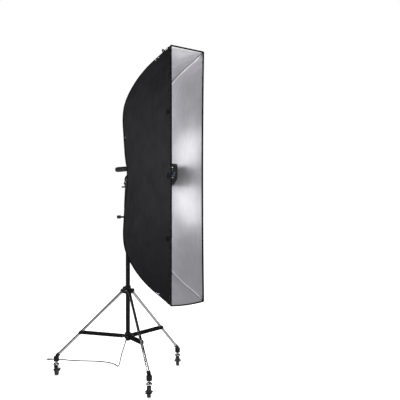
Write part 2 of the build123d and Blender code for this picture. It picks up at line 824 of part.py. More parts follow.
panel_face = HEAD_FRONT - SEAT - PANEL_THICKNESS
with BuildPart() as head_dial:
    disc(front_plane(0, HEAD_FRONT - 1, DIAL_Z), DIAL_STUD_R, 7)
    disc(front_plane(0, panel_face - GAP, DIAL_Z), DIAL_R, DIAL_HEIGHT)
    fillet(head_dial.faces().sort_by(Axis.Y)[0].edges(), 2)
save(head_dial, "head_dial")

SWITCH_PIVOT_Y = panel_face + 1.5
with BuildPart() as power_switch:
    with BuildSketch(side_plane(SWITCH_X, SWITCH_PIVOT_Y, SWITCH_Z)):
        with BuildLine():
            Polyline((0, -7), (-4.5, -10), (-2.6, 0), (-2.6, 10), (0, 7), close=True)
        make_face()
        Circle(2)
    extrude(amount=6.4, both=True)
save(power_switch, "power_switch")

DOME_RADIUS = 50.0
DOME_HEIGHT = 34.0
DOME_WALL = 3.0
dome_curve = (DOME_RADIUS**2 + DOME_HEIGHT**2) / (2 * DOME_HEIGHT)
with BuildPart() as flash_dome:
    with BuildSketch(Plane.XY.offset(DOME_Z)):
        with Locations((0, HEAD_BACK + SEAT + DOME_HEIGHT - dome_curve)):
            Circle(dome_curve)
            Circle(dome_curve - DOME_WALL, mode=Mode.SUBTRACT)
        with Locations((dome_curve, HEAD_BACK + SEAT + dome_curve)):
            Rectangle(2 * dome_curve, 2 * dome_curve, mode=Mode.INTERSECT)
    revolve(axis=Axis((0, 0, DOME_Z), (0, 1, 0)))
save(flash_dome, "flash_dome")

# ---------------------------------------------------------------- softbox

HALF_WIDTH = BOX_WIDTH / 2
PANEL_FRONT = FRONT_Y + BINDING_DEPTH + SEAT

with BuildPart() as hub_ring:
    disc(front_plane(0, HUB_Y + 8, BOOM_Z), HUB_R, 14)
    fillet(hub_ring.edges(), 2)
    disc(front_plane(0, BLOCK_FRONT - GAP - 5.5, BOOM_Z), 24, 36)
    with BuildSketch(front_plane(0, HUB_Y + 10, BOOM_Z)):
        with PolarLocations(60, 8, start_angle=22.5):
            RegularPolygon(5, 6)
    extrude(amount=4)
    drill(front_plane(0, -60, BOOM_Z), BOOM_R + SEAT, 100)
save(hub_ring, "hub_ring")

# The seam bows from the hub to the front corner. Points give half the width there,
# the distance along Y and the height above the box's axis.
with BuildLine() as seam:
    Spline(
        (95, HUB_Y, 60),
        (133, -119, 303),
        (155, -141, 474),
        (164, -232, 622),
        (165, -386, 750),
        (165, FRONT_Y, 872),
        tangents=[(0.17, 0, 1), (0, -1.9, 1)],
    )
LAST = 0.985  # the panels stop at the binding
seam_stations = [seam.line @ (LAST * step / STATIONS) for step in range(STATIONS + 1)]
seam_tangents = [seam.line % (LAST * step / STATIONS) for step in range(STATIONS + 1)]


def make_side_panel(sign):
    """Panel from the straight front edge to the bowed seams of the upper and lower half."""
    lower_half = [(point, BOOM_Z - point.Z) for point in reversed(seam_stations)]
    upper_half = [(point, BOOM_Z + point.Z) for point in seam_stations]
    with BuildPart() as side_panel:
        for point, height in lower_half + upper_half:
            outer_front = (sign * HALF_WIDTH, PANEL_FRONT)
            inner_front = (sign * (HALF_WIDTH - FABRIC), PANEL_FRONT)
            outer_back = (sign * point.X, point.Y)
            inner_back = (sign * (point.X - FABRIC), point.Y)
            with BuildSketch(Plane.XY.offset(height)):
                with BuildLine():
                    Polyline(outer_front, outer_back, inner_back, inner_front, close=True)
                make_face()
        loft(ruled=True)
    return side_panel


save(make_side_panel(-1), "panel_left")
save(make_side_panel(1), "panel_right")


def make_end_panel(sign):
    """Curved panel from the hub to the top (1) or the bottom (-1) of the opening."""
    with BuildPart() as end_panel:
        flat = Plane(origin=(0, HUB_Y - FABRIC / 2, BOOM_Z), x_dir=(1, 0, 0), z_dir=(0, 0, sign))
        with BuildSketch(flat):
            Rectangle(2 * seam_stations[0].X - 2 * FABRIC, FABRIC)
        for point, tangent in zip(seam_stations, seam_tangents):
            slope = Vector(0, tangent.Y, sign * tangent.Z).normalized()
            inward = Vector(0, -slope.Z * sign, slope.Y * sign)
            middle = Vector(0, point.Y, BOOM_Z + sign * point.Z) + inward * (FABRIC / 2)
            with BuildSketch(Plane(origin=middle, x_dir=(1, 0, 0), z_dir=slope)):
                Rectangle(2 * point.X - 2 * FABRIC, FABRIC)
        loft(ruled=True)
        drill(front_plane(0, HUB_Y + 20, BOOM_Z), HUB_R + GAP, 40)
    return end_panel


save(make_end_panel(1), "panel_upper")
save(make_end_panel(-1), "panel_lower")

with BuildPart() as front_binding:
    with BuildSketch(front_plane(0, FRONT_Y + BINDING_DEPTH, BOOM_Z)):
        RectangleRounded(BOX_WIDTH, BOX_HEIGHT, 6)
        Rectangle(
            BOX_WIDTH - 2 * BINDING_WIDTH,
            BOX_HEIGHT - 2 * BINDING_WIDTH,
            mode=Mode.SUBTRACT,
        )
    extrude(amount=BINDING_DEPTH)
save(front_binding, "front_binding")

ROD_INSET = 9.0
rod_parts = []
for side_sign in (-1, 1):
    for end_sign in (-1, 1):
        rod_route = [
            (side_sign * 54, HUB_Y - 3, BOOM_Z + end_sign * 40),
            (side_sign * 82, HUB_Y - 8, BOOM_Z + end_sign * 92),
        ]
        for step in range(2, STATIONS + 1):
            point = seam_stations[step]
            tangent = seam_tangents[step]
            inward = Vector(0, -tangent.Z, tangent.Y).normalized() * ROD_INSET
            rod_route.append(
                (
                    side_sign * (point.X - ROD_INSET),
                    point.Y + inward.Y,
                    BOOM_Z + end_sign * (point.Z + inward.Z),
                )
            )
        rod_parts.append(tube_on_route(rod_route, ROD_R)[0].part)
with BuildPart() as rods:
    for rod in rod_parts:
        add(rod)
save(rods, "rods")

# ---------------------------------------------------------------- lead

LEAD_EXIT = (0, 28, 1440)
LEAD_JOIN = (1.6, 32.6, 1372)
LEAD_CLIP = (24.4, 27.1, 1128)
LEAD_SPLIT = 0.5  # gap between the lead's pieces on different bodies
upper_route = [
    LEAD_EXIT,
    (0.3, 28.4, 1418),
    (1.2, 30.5, 1394),
    LEAD_JOIN,
]
middle_route = [
    (LEAD_JOIN[0], LEAD_JOIN[1], LEAD_JOIN[2] - LEAD_SPLIT),
    (1.9, 34.6, 1345),
    (2.6, 39.0, 1302),
    (5.0, 43.5, 1258),
    (12.5, 40.5, 1213),
    (23.6, 28.0, 1166),
    (LEAD_CLIP[0], LEAD_CLIP[1], LEAD_CLIP[2] + LEAD_SPLIT),
]
main_route = [
    LEAD_CLIP,
    (24.6, 27.7, 1070),
    (26.2, 28.7, 975),
    (24.9, 29.7, 870),
    (26.3, 28.5, 760),
    (25.1, 29.5, 650),
    (26.3, 28.9, 545),
    (25.6, 30.6, 450),
    (31, 38, 370),
    (46, 62, 305),
    (72, 115, 230),
    (105, 185, 155),
    (140, 245, 85),
    (173, 298, 27),
    (205, 350, LEAD_R),
    (232, 405, LEAD_R),
    (249, 462, LEAD_R),
    (250, 530, LEAD_R),
    (232, 598, LEAD_R),
    (196, 658, LEAD_R),
    (150, 716, LEAD_R),
    (112, 770, LEAD_R),
    (84, 826, LEAD_R),
    (62, 884, LEAD_R),
    (34, 926, LEAD_R + 1),
    (4, 956, LEAD_R + 2),
]

for name, route in (
    ("lead_upper", upper_route),
    ("lead_middle", middle_route),
    ("lead_main", main_route),
):
    lead, lead_length, lead_radii = tube_on_route(route, LEAD_R)
    lead.part.label = name
    export_step(lead.part, f"parts/{name}.step")
    expected = math.pi * LEAD_R**2 * lead_length
    print(f"{name}: length {lead_length:.1f}, tightest bend {min(lead_radii):.1f}")
    print("  bends " + ", ".join(f"{radius:.0f}" for radius in lead_radii))
    print(f"  volume over section times length {lead.part.volume / expected:.4f}")

# Clip that holds the lead off the column, just under the collar
CLIP_BOTTOM = 1122.0
CLIP_HEIGHT = 12.0
CLIP_ANGLE = math.degrees(math.atan2(LEAD_CLIP[1], LEAD_CLIP[0]))
with BuildPart() as cable_clip:
    with BuildSketch(Plane.XY.offset(CLIP_BOTTOM)):
        Circle(LOWER_R + 3)
        with Locations((LEAD_CLIP[0], LEAD_CLIP[1])):
            Circle(LEAD_R + 2.5)
        with Locations(Location((LEAD_CLIP[0] * 0.7, LEAD_CLIP[1] * 0.7, 0), CLIP_ANGLE)):
            Rectangle(18, 6)
        Circle(LOWER_R + SEAT, mode=Mode.SUBTRACT)
        with Locations((LEAD_CLIP[0], LEAD_CLIP[1])):
            Circle(LEAD_R + 0.6, mode=Mode.SUBTRACT)
    extrude(amount=CLIP_HEIGHT)
save(cable_clip, "cable_clip")

# Slim plug at the lead's end, lying on the floor
plug_start = Vector(*main_route[-1])
plug_direction = (plug_start - Vector(*main_route[-2])).normalized()
plug_direction = Vector(plug_direction.X, plug_direction.Y, 0).normalized()
with BuildPart() as plug:
    disc(Plane(origin=plug_start, z_dir=plug_direction), 6, 34)
    fillet(plug.edges(), 1.5)
    disc(Plane(origin=plug_start + plug_direction * 33, z_dir=plug_direction), 2.5, 15)
save(plug, "plug")
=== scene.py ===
import json
import math

import bmesh
import bpy
import numpy as np
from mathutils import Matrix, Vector


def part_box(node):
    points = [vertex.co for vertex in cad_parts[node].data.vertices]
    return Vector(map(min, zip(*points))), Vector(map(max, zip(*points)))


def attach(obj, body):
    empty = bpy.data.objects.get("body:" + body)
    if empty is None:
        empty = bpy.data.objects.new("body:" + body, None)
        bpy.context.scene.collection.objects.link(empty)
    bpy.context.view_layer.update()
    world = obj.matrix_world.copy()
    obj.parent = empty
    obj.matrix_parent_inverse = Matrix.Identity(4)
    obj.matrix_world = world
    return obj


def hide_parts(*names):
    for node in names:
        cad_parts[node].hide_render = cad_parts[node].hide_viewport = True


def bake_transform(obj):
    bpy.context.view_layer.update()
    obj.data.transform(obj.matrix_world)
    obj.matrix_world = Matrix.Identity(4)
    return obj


# A tall strip softbox on a rolling stand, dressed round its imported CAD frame. Metres, +Z up.

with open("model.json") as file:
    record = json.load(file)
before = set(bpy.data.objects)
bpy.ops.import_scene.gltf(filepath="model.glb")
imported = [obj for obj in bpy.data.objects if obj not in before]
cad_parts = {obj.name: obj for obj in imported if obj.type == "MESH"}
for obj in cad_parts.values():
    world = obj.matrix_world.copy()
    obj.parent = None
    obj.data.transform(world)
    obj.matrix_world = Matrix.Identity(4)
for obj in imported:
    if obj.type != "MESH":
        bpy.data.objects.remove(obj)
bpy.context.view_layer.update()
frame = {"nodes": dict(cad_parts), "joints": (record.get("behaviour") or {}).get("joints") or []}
nodes = frame["nodes"]
scene = bpy.context.scene

MM = 0.001
RIGHT = np.array([1.0, 0.0, 0.0])
BACK = np.array([0.0, 1.0, 0.0])
UP = np.array([0.0, 0.0, 1.0])

# ---- camera

CAMERA_PLACE = Vector((-3.736, -4.216, 1.325))
CAMERA_AIM = Vector((0.7313, 0.6820, 0.0))
CAMERA_LENS = 68.0
CAMERA_SENSOR = 36.0

camera_data = bpy.data.cameras.new("camera")
camera_data.lens = CAMERA_LENS
camera_data.sensor_width = CAMERA_SENSOR
camera = bpy.data.objects.new("camera", camera_data)
camera.location = CAMERA_PLACE
camera.rotation_euler = CAMERA_AIM.to_track_quat("-Z", "Y").to_euler()
scene.collection.objects.link(camera)
scene.camera = camera

# ---- procedural materials

materials = {}


class Surface:
    """A procedural material built round one Principled shader, kept by name in materials."""

    def __init__(self, name, values, space="Object"):
        self.material = materials[name] = bpy.data.materials.new(name)
        self.material.use_nodes = True
        self.tree = self.material.node_tree
        self.shader = self.tree.nodes["Principled BSDF"]
        self.coords = self.tree.nodes.new("ShaderNodeTexCoord").outputs[space]
        self.last_bump = None
        for socket, value in values.items():
            self.shader.inputs[socket].default_value = value

    def node(self, kind, inputs=None, **settings):
        """A node whose inputs are plain values or other nodes' outputs."""
        made = self.tree.nodes.new("ShaderNode" + kind)
        for name, value in settings.items():
            setattr(made, name, value)
        for name, value in (inputs or {}).items():
            if isinstance(value, bpy.types.NodeSocket):
                self.tree.links.new(value, made.inputs[name])
            else:
                made.inputs[name].default_value = value
        return made

    def stretched(self, stretch=(1, 1, 1)):
        """The coordinates, scaled along each axis."""
        return self.node("Mapping", {"Vector": self.coords, "Scale": stretch}).outputs["Vector"]

    def noise(self, scale, detail=3.0, stretch=(1, 1, 1)):
        inputs = {"Vector": self.stretched(stretch), "Scale": scale, "Detail": detail}
        return self.node("TexNoise", inputs).outputs["Fac"]

    def wave(self, scale, direction):
        inputs = {"Vector": self.coords, "Scale": scale, "Distortion": 0.0, "Detail": 1.0}
        return self.node("TexWave", inputs, bands_direction=direction).outputs["Fac"]

    def cells(self, scale):
        inputs = {"Vector": self.stretched(), "Scale": scale}
        return self.node("TexVoronoi", inputs).outputs["Distance"]

    def both(self, first, second, operation="MULTIPLY"):
        return self.node("Math", {0: first, 1: second}, operation=operation).outputs[0]

    def spread(self, factor, low, high, start=0.3, end=0.7):
        """A factor mapped from start...end to low...high."""
        inputs = {"Value": factor, "From Min": start, "From Max": end}
        inputs |= {"To Min": low, "To Max": high}
        return self.node("MapRange", inputs).outputs["Result"]

    def colour(self, factor, low, high, start=0.35, end=0.65):
        """Base colour that runs from low to high with a factor."""
        ramp = self.node("ValToRGB", {"Fac": factor})
        for stop, place, rgb in zip(ramp.color_ramp.elements, (start, end), (low, high)):
            stop.position = place
            stop.color = (*rgb, 1.0)
        self.tree.links.new(ramp.outputs["Color"], self.shader.inputs["Base Color"])

    def roughness(self, factor, low, high):
        self.tree.links.new(self.spread(factor, low, high), self.shader.inputs["Roughness"])

    def bump(self, height, distance, strength=1.0):
        inputs = {"Height": height, "Distance": distance, "Strength": strength}
        if self.last_bump:
            inputs["Normal"] = self.last_bump
        self.last_bump = self.node("Bump", inputs).outputs["Normal"]
        self.tree.links.new(self.last_bump, self.shader.inputs["Normal"])


def grey(value, blue=0.0005):
    """A near-neutral colour whose blue channel is higher than the others by blue."""
    return value, value, value + blue


def metal_paint(name, low, high, rough, grain, specular=0.04):
    """Painted or coated metal: slightly uneven colour, orange peel and a fine grain."""
    surface = Surface(name, {"Specular IOR Level": specular})
    surface.colour(surface.noise(38.0, 4.0), low, high)
    surface.roughness(surface.noise(70.0), rough - 0.05, rough + 0.07)
    surface.bump(surface.noise(grain, 2.0), 0.06 * MM, 0.5)
    surface.bump(surface.noise(60.0, 2.0), 0.2 * MM, 0.25)


def plain_metal(name, low, high, rough, streaks=(1, 1, 1)):
    """Bare or plated metal with drawn streaks and a few soft stains."""
    surface = Surface(name, {"Metallic": 1.0})
    surface.colour(surface.noise(25.0, 4.0), low, high)
    scratch = surface.noise(160.0, 2.0, streaks)
    surface.roughness(surface.both(scratch, surface.noise(30.0), "ADD"), rough * 0.8, rough * 1.5)
    surface.bump(scratch, 0.02 * MM, 0.25)


def moulded(name, low, high, rough, grain, depth):
    """Moulded plastic or rubber with a stippled skin, depth mm deep."""
    surface = Surface(name, {"Specular IOR Level": 0.09})
    surface.colour(surface.noise(45.0, 4.0), low, high)
    surface.roughness(surface.noise(90.0), rough - 0.06, rough + 0.08)
    surface.bump(surface.cells(grain), depth * MM, 0.5)


def woven(name, low, high, rough, lustre, metallic=0.0, specular=0.05, thread=0.9 * MM):
    """Cloth in UV metres: crossed threads, fine creases and a drifting lustre."""
    values = {"Metallic": metallic, "Specular IOR Level": specular}
    surface = Surface(name, values, "UV")
    turns = 2 * math.pi / 20 / thread  # a Wave texture's scale of 1 has a band each 2*pi/20 units
    weave = surface.both(surface.wave(turns, "X"), surface.wave(turns, "Y"), "ADD")
    streak = surface.noise(42.0, stretch=(1.0, 0.22, 1.0))
    blotch = surface.noise(9.0, 4.0)
    surface.colour(surface.both(surface.both(streak, blotch, "ADD"), 0.5), low, high, 0.38, 0.62)
    surface.roughness(streak, rough - lustre, rough + lustre)
    surface.bump(weave, 0.05 * MM, 0.35)
    surface.bump(surface.noise(55.0, 2.0, (1.0, 0.35, 1.0)), 0.35 * MM, 0.35)


metal_paint("column_black", grey(0.003, 0), grey(0.007), 0.42, 2200.0)
moulded("moulded_black", grey(0.004), grey(0.009), 0.5, 1500.0, 0.06)
plain_metal("steel_pins", grey(0.10, 0.003), grey(0.17, 0.003), 0.32)
plain_metal("leg_chrome", grey(0.20, 0.003), grey(0.28, 0.003), 0.12, (1, 1, 0.3))
metal_paint("brace_paint", grey(0.004), grey(0.010), 0.5, 1800.0, specular=0.0)
moulded("wheel_core", grey(0.030, 0.002), grey(0.055, 0.002), 0.45, 900.0, 0.08)
moulded("tyre_rubber", grey(0.012, 0), (0.032, 0.031, 0.030), 0.62, 700.0, 0.12)
metal_paint("bracket_cast", grey(0.004, 0), grey(0.010), 0.5, 900.0)
plain_metal("boom_metal", (0.30, 0.31, 0.32), grey(0.42, 0.01), 0.32, (1, 0.1, 1))
moulded("head_shell", grey(0.003), grey(0.006), 0.5, 1100.0, 0.10)
plain_metal("rod_steel", (0.32, 0.33, 0.35), grey(0.52, 0.02), 0.28, (1, 1, 0.3))
moulded("lead_rubber", grey(0.003), grey(0.007), 0.60, 1300.0, 0.08)
woven("fabric_side", grey(0.0046, 0.0004), grey(0.0066), 0.60, 0.07, specular=0.015)
woven("fabric_end", grey(0.0052), grey(0.0082, 0.0006), 0.62, 0.07)
woven(
    "binding_fabric", grey(0.0012, 0.0002), grey(0.0028, 0.0003), 0.72, 0.06,
    specular=0.02, thread=1.6 * MM,
)
woven("silver_lining", (0.665, 0.66, 0.685), (0.745, 0.74, 0.76), 0.42, 0.06, 0.8, 0.5)
# The end panels' lining is the side lining's silver made darker: painted shade on the end panels,
# not a different cloth
woven("silver_end", (0.56, 0.555, 0.575), (0.64, 0.635, 0.655), 0.42, 0.06, 0.8, 0.5)
woven("silver_tape", grey(0.78, 0.01), grey(0.86, 0.005), 0.45, 0.05, 0.45, 0.5)
moulded("thread_black", grey(0.012, 0.001), grey(0.04, 0.002), 0.6, 2500.0, 0.05)
moulded("thread_grey", grey(0.38, 0.02), grey(0.55, 0.02), 0.55, 2500.0, 0.05)
plain_metal("bright_steel", grey(0.72, 0.01), grey(0.86, 0), 0.22)
plain_metal("dull_steel", grey(0.16, 0.005), grey(0.24, 0.005), 0.38)
moulded("white_mark", (0.70, 0.71, 0.72), grey(0.84, 0), 0.35, 1500.0, 0.03)
moulded("blue_mark", (0.10, 0.13, 0.19), (0.16, 0.20, 0.28), 0.25, 1500.0, 0.03)
moulded("display_window", (0.006, 0.008, 0.010), (0.012, 0.014, 0.017), 0.12, 1500.0, 0.01)

frosted = Surface("dome_glass", {"Transmission Weight": 0.85, "IOR": 1.46})
frosted.colour(frosted.noise(30.0), (0.82, 0.83, 0.84), grey(0.94, 0))
frosted.roughness(frosted.noise(60.0), 0.32, 0.45)
frosted.bump(frosted.noise(900.0, 2.0), 0.05 * MM, 0.4)

for node in nodes.values():
    own = node.data.materials[0].name.split(".")[0]
    for material_slot in node.material_slots:
        material_slot.material = materials[own]

# ---- mesh helpers

SHARP_ANGLE = math.radians(42)


def merged(*shapes):
    """Several (points, faces, uvs) shapes as one."""
    points, faces, uvs = [], [], []
    for shape_points, shape_faces, shape_uvs in shapes:
        start = len(points)
        points.extend(shape_points)
        uvs.extend(shape_uvs)
        faces.extend([tuple(start + corner for corner in face) for face in shape_faces])
    return points, faces, uvs


def edit_mesh(mesh, change):
    """A change made to a mesh through bmesh."""
    work = bmesh.new()
    work.from_mesh(mesh)
    change(work)
    work.to_mesh(mesh)
    work.free()


def piece(name, shape, body, slot, look=None, second=None, tidy=True):
    """A mesh object from a shape, riding on a body. Its look is the slot's own unless named."""
    points, faces, uvs = shape
    mesh = bpy.data.meshes.new(name)
    mesh.from_pydata([tuple(point) for point in points], [], faces)
    layer = mesh.uv_layers.new(name="UVMap")
    corners = np.zeros(len(mesh.loops), np.int32)
    mesh.loops.foreach_get("vertex_index", corners)
    layer.data.foreach_set("uv", np.array(uvs, np.float32)[corners].ravel())
    if tidy:
        edit_mesh(mesh, lambda work: bmesh.ops.recalc_face_normals(work, faces=work.faces))
    mesh.polygons.foreach_set("use_smooth", [True] * len(mesh.polygons))
    mesh.set_sharp_from_angle(angle=SHARP_ANGLE)
    mesh.materials.append(materials[look or slot])
    if second:
        mesh.materials.append(materials[second])
    made = bpy.data.objects.new(name, mesh)
    scene.collection.objects.link(made)
    if body:
        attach(made, body)
    return made


def unit_rows(rows):
    """Each row scaled to length one."""
    rows = np.asarray(rows, float)
    return rows / np.linalg.norm(rows, axis=1)[:, None]


def reach_of(path):
    """Distance along a path at each of its points."""
    return np.concatenate([[0], np.cumsum(np.linalg.norm(np.diff(path, axis=0), axis=1))])


def full_turn(count):
    """Evenly spaced angles round a circle."""
    return np.linspace(0, 2 * math.pi, count, endpoint=False)


def grid_shape(grid, around=False):
    """Faces over rows and columns of points. around joins the last column to the first."""
    grid = np.asarray(grid, float)
    rows, columns = grid.shape[:2]
    along = reach_of(grid.mean(1))
    widths = np.linalg.norm(np.diff(grid, axis=1), axis=2)
    across = np.concatenate([np.zeros((rows, 1)), np.cumsum(widths, axis=1)], axis=1)
    across = across - across[:, -1:] / 2
    faces = []
    for row in range(rows - 1):
        for column in range(columns if around else columns - 1):
            after = (column + 1) % columns
            low, high = row * columns, (row + 1) * columns
            faces.append((low + column, low + after, high + after, high + column))
    uvs = np.stack([across, np.repeat(along[:, None], columns, 1)], 2).reshape(-1, 2)
    return [tuple(point) for point in grid.reshape(-1, 3)], faces, [tuple(uv) for uv in uvs]


def capped(grid):
    """A closed tube of rows of points, with a fan at each end."""
    points, faces, uvs = grid_shape(grid, around=True)
    rows, columns = np.asarray(grid).shape[:2]
    for row in (0, rows - 1):
        middle = len(points)
        points.append(tuple(np.asarray(grid)[row].mean(0)))
        uvs.append((0.0, 0.0))
        for column in range(columns):
            faces.append((row * columns + column, row * columns + (column + 1) % columns, middle))
    return points, faces, uvs


def frames_along(path):
    """Tangent and two square directions at each point of a path, carried along without twist."""
    path = np.asarray(path, float)
    tangents = unit_rows(np.gradient(path, axis=0))
    guide = np.array([0.0, 0.0, 1.0]) if abs(tangents[0][2]) < 0.9 else np.array([1.0, 0.0, 0.0])
    firsts = []
    for tangent in tangents:
        guide = guide - tangent * (guide @ tangent)
        guide /= np.linalg.norm(guide)
        firsts.append(guide)
    firsts = np.array(firsts)
    return tangents, firsts, np.cross(tangents, firsts)


def tube_shape(path, radii, sides=12):
    """Round tube along a path. radii is one radius or one for each point."""
    path = np.asarray(path, float)
    radii = np.broadcast_to(radii, len(path))
    _, first, second = frames_along(path)
    turns = full_turn(sides)[None, :, None]
    ring = first[:, None] * np.cos(turns) + second[:, None] * np.sin(turns)
    return capped(path[:, None] + ring * radii[:, None, None])


def axes_round(axis):
    """An axis of length one, and two directions square to it and to each other."""
    axis = Vector(axis).normalized()
    side = np.array(axis.orthogonal().normalized())
    return np.array(axis), side, np.cross(axis, side)


def lathe_shape(origin, axis, profile, sides=40):
    """Turned shape: profile is (distance along the axis, radius) pairs in mm."""
    axis, side, other = axes_round(axis)
    path = np.array([np.array(origin) + axis * along * MM for along, _ in profile])
    turns = full_turn(sides)[:, None]
    ring = side * np.cos(turns) + other * np.sin(turns)
    radii = np.array([max(radius, 0.01) * MM for _, radius in profile])
    return capped(path[:, None] + ring[None] * radii[:, None, None])


def at_reach(wanted, reach, rows):
    """X, Y and Z between rows, at wanted distances along their path."""
    return np.array([np.interp(wanted, reach, rows[:, axis]) for axis in range(3)])


def smooth_through(points, count):
    """Evenly spaced points on a smooth curve through the given ones."""
    points = np.asarray(points, float)
    padded = np.vstack([2 * points[0] - points[1], points, 2 * points[-1] - points[-2]])
    fine = []
    for index in range(1, len(padded) - 2):
        p0, p1, p2, p3 = padded[index - 1 : index + 3]
        for t in np.linspace(0, 1, 12, endpoint=False):
            square = (2 * p0 - 5 * p1 + 4 * p2 - p3) * t**2
            cube = (3 * p1 - p0 - 3 * p2 + p3) * t**3
            fine.append(0.5 * (2 * p1 + (p2 - p0) * t + square + cube))
    fine = np.array(fine + [points[-1]])
    reach = reach_of(fine)
    return at_reach(np.linspace(0, reach[-1], count), reach, fine).T


def on_grid(grid, row, column):
    """Point and surface normal at fractional row and column of a grid."""
    rows, columns = grid.shape[:2]
    i = int(min(max(row, 0), rows - 1.001))
    j = int(min(max(column, 0), columns - 1.001))
    u, v = row - i, column - j
    a, b, c, d = grid[i, j], grid[i, j + 1], grid[i + 1, j], grid[i + 1, j + 1]
    point = a * (1 - u) * (1 - v) + b * (1 - u) * v + c * u * (1 - v) + d * u * v
    normal = np.cross((b - a) * (1 - u) + (d - c) * u, (c - a) * (1 - v) + (d - b) * v)
    return point, normal / max(np.linalg.norm(normal), 1e-9)


def stitch_shapes(path, normals, pitch, length, thick, lift):
    """A row of raised stitches along a path, with sizes in mm."""
    path, normals = np.asarray(path, float), np.asarray(normals)
    pitch, length, thick, lift = (size * MM for size in (pitch, length, thick, lift))
    reach = reach_of(path)
    shapes = []
    for middle in np.arange(pitch, reach[-1] - pitch, pitch):
        here = at_reach(middle, reach, path)
        ahead = at_reach(middle + pitch / 4, reach, path)
        up = at_reach(middle, reach, normals)
        along = (ahead - here) / max(np.linalg.norm(ahead - here), 1e-9)
        spots = [
            here - along * length / 2 - up * thick,
            here - along * length / 4 + up * lift,
            here + along * length / 4 + up * lift,
            here + along * length / 2 - up * thick,
        ]
        shapes.append(tube_shape(spots, [thick * 0.5, thick, thick, thick * 0.5], 6))
    return shapes


# ---- lead

LEAD_R = 4.0 * MM
LEAD_EXIT = (0, 0.028, 1.440)
LEAD_JOIN = (0.0016, 0.0326, 1.372)
LEAD_CLIP = (0.0244, 0.0271, 1.128)
LEAD_SPLIT = 0.0005
upper_route = [
    LEAD_EXIT,
    (0.0003, 0.0284, 1.418),
    (0.0012, 0.0305, 1.394),
    LEAD_JOIN,
]
middle_route = [
    (LEAD_JOIN[0], LEAD_JOIN[1], LEAD_JOIN[2] - LEAD_SPLIT),
    (0.0019, 0.0346, 1.345),
    (0.0026, 0.0390, 1.302),
    (0.0050, 0.0435, 1.258),
    (0.0125, 0.0405, 1.213),
    (0.0236, 0.0280, 1.166),
    (LEAD_CLIP[0], LEAD_CLIP[1], LEAD_CLIP[2] + LEAD_SPLIT),
]
main_route = [
    LEAD_CLIP,
    (0.0246, 0.0277, 1.070),
    (0.0262, 0.0287, 0.975),
    (0.0249, 0.0297, 0.870),
    (0.0263, 0.0285, 0.760),
    (0.0251, 0.0295, 0.650),
    (0.0263, 0.0289, 0.545),
    (0.0256, 0.0306, 0.450),
    (0.031, 0.038, 0.370),
    (0.046, 0.062, 0.305),
    (0.072, 0.115, 0.230),
    (0.105, 0.185, 0.155),
    (0.140, 0.245, 0.085),
    (0.173, 0.298, 0.027),
    (0.205, 0.350, LEAD_R),
    (0.232, 0.405, LEAD_R),
    (0.249, 0.462, LEAD_R),
    (0.250, 0.530, LEAD_R),
    (0.232, 0.598, LEAD_R),
    (0.196, 0.658, LEAD_R),
    (0.150, 0.716, LEAD_R),
    (0.112, 0.770, LEAD_R),
    (0.084, 0.826, LEAD_R),
    (0.062, 0.884, LEAD_R),
    (0.034, 0.926, LEAD_R + MM),
    (0.004, 0.956, LEAD_R + 2 * MM),
]


def lead_curve(name, route):
    """The route as one smooth line of control points."""
    data = bpy.data.curves.new(name, "CURVE")
    data.dimensions = "3D"
    data.resolution_u = 16
    line = data.splines.new("NURBS")
    line.points.add(len(route) - 1)
    for point, place in zip(line.points, route):
        point.co = (*place, 1.0)
    line.order_u = 3
    line.use_endpoint_u = True
    made = bpy.data.objects.new(name, data)
    scene.collection.objects.link(made)
    return made


def route_points(route):
    """Points read from a route's smooth line, for a mesh that follows it."""
    guide = lead_curve("guide", route)
    bpy.context.view_layer.update()
    mesh = bpy.data.meshes.new_from_object(guide)
    points = [tuple(vertex.co) for vertex in mesh.vertices]
    bpy.data.objects.remove(guide)
    return points


lead_main = lead_curve("lead_main_cord", main_route)
lead_main.data.bevel_depth = LEAD_R
lead_main.data.bevel_resolution = 5
lead_main.data.use_fill_caps = True
lead_main.data.materials.append(materials["lead_rubber"])
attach(lead_main, "stand_column")
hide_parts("lead_main")

upper_points = route_points(upper_route)
lead_upper = piece("lead_upper_cord", tube_shape(upper_points, LEAD_R, 20), None, "lead_rubber")
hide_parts("lead_upper")
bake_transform(lead_upper)

middle_points = route_points(middle_route)
lead_middle = piece("lead_middle_cord", tube_shape(middle_points, LEAD_R, 20), None, "lead_rubber")
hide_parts("lead_middle")
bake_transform(lead_middle)

# Ribbed strain relief under the bracket, in mm along the lead and out from its middle
relief_profile = [(0, 4.2), (0, 6.2)]
for rib in range(5):
    start = 1.5 + rib * 4.4
    rib_r = 6.3 - rib * 0.32
    relief_profile += [(start, rib_r), (start + 2.6, rib_r - 0.1)]
    relief_profile += [(start + 3.0, rib_r - 0.8), (start + 4.0, rib_r - 0.9)]
relief_profile += [(24, 4.9), (24, 4.1)]
relief_down = Vector(upper_route[1]) - Vector(LEAD_EXIT)
relief = lathe_shape(LEAD_EXIT, relief_down, relief_profile, 28)
strain_relief = piece("strain_relief", relief, "swivel", "lead_rubber")

# Slim jack at the lead's other end, in mm from the end of the lead
plug_start = Vector(main_route[-1])
plug_run = plug_start - Vector(main_route[-2])
plug_run = Vector((plug_run.x, plug_run.y, 0)).normalized()
plug_profile = [(-9, 4.1), (-9, 4.7), (-3, 4.9), (-1, 5.6), (0, 5.9)]
for rib in range(4):
    start = 4 * rib
    plug_profile += [(start + 3, 5.95), (start + 4.6, 5.95), (start + 5, 5.4), (start + 6.2, 5.4)]
plug_profile += [(20, 5.95), (32.5, 5.9), (34, 5.2), (34, 2.5), (45.5, 2.5)]
plug_profile += [(46, 2.1), (46.6, 2.1), (48.2, 1.4), (49, 0.4)]
jack = lathe_shape(plug_start, plug_run, plug_profile, 32)
plug_jack = piece("plug_jack", jack, "stand_column", "lead_rubber")
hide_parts("plug")
pin_profile = [(34.2, 2.6), (38, 2.62), (38.2, 2.45), (42, 2.45), (42.2, 2.62), (45.6, 2.6)]
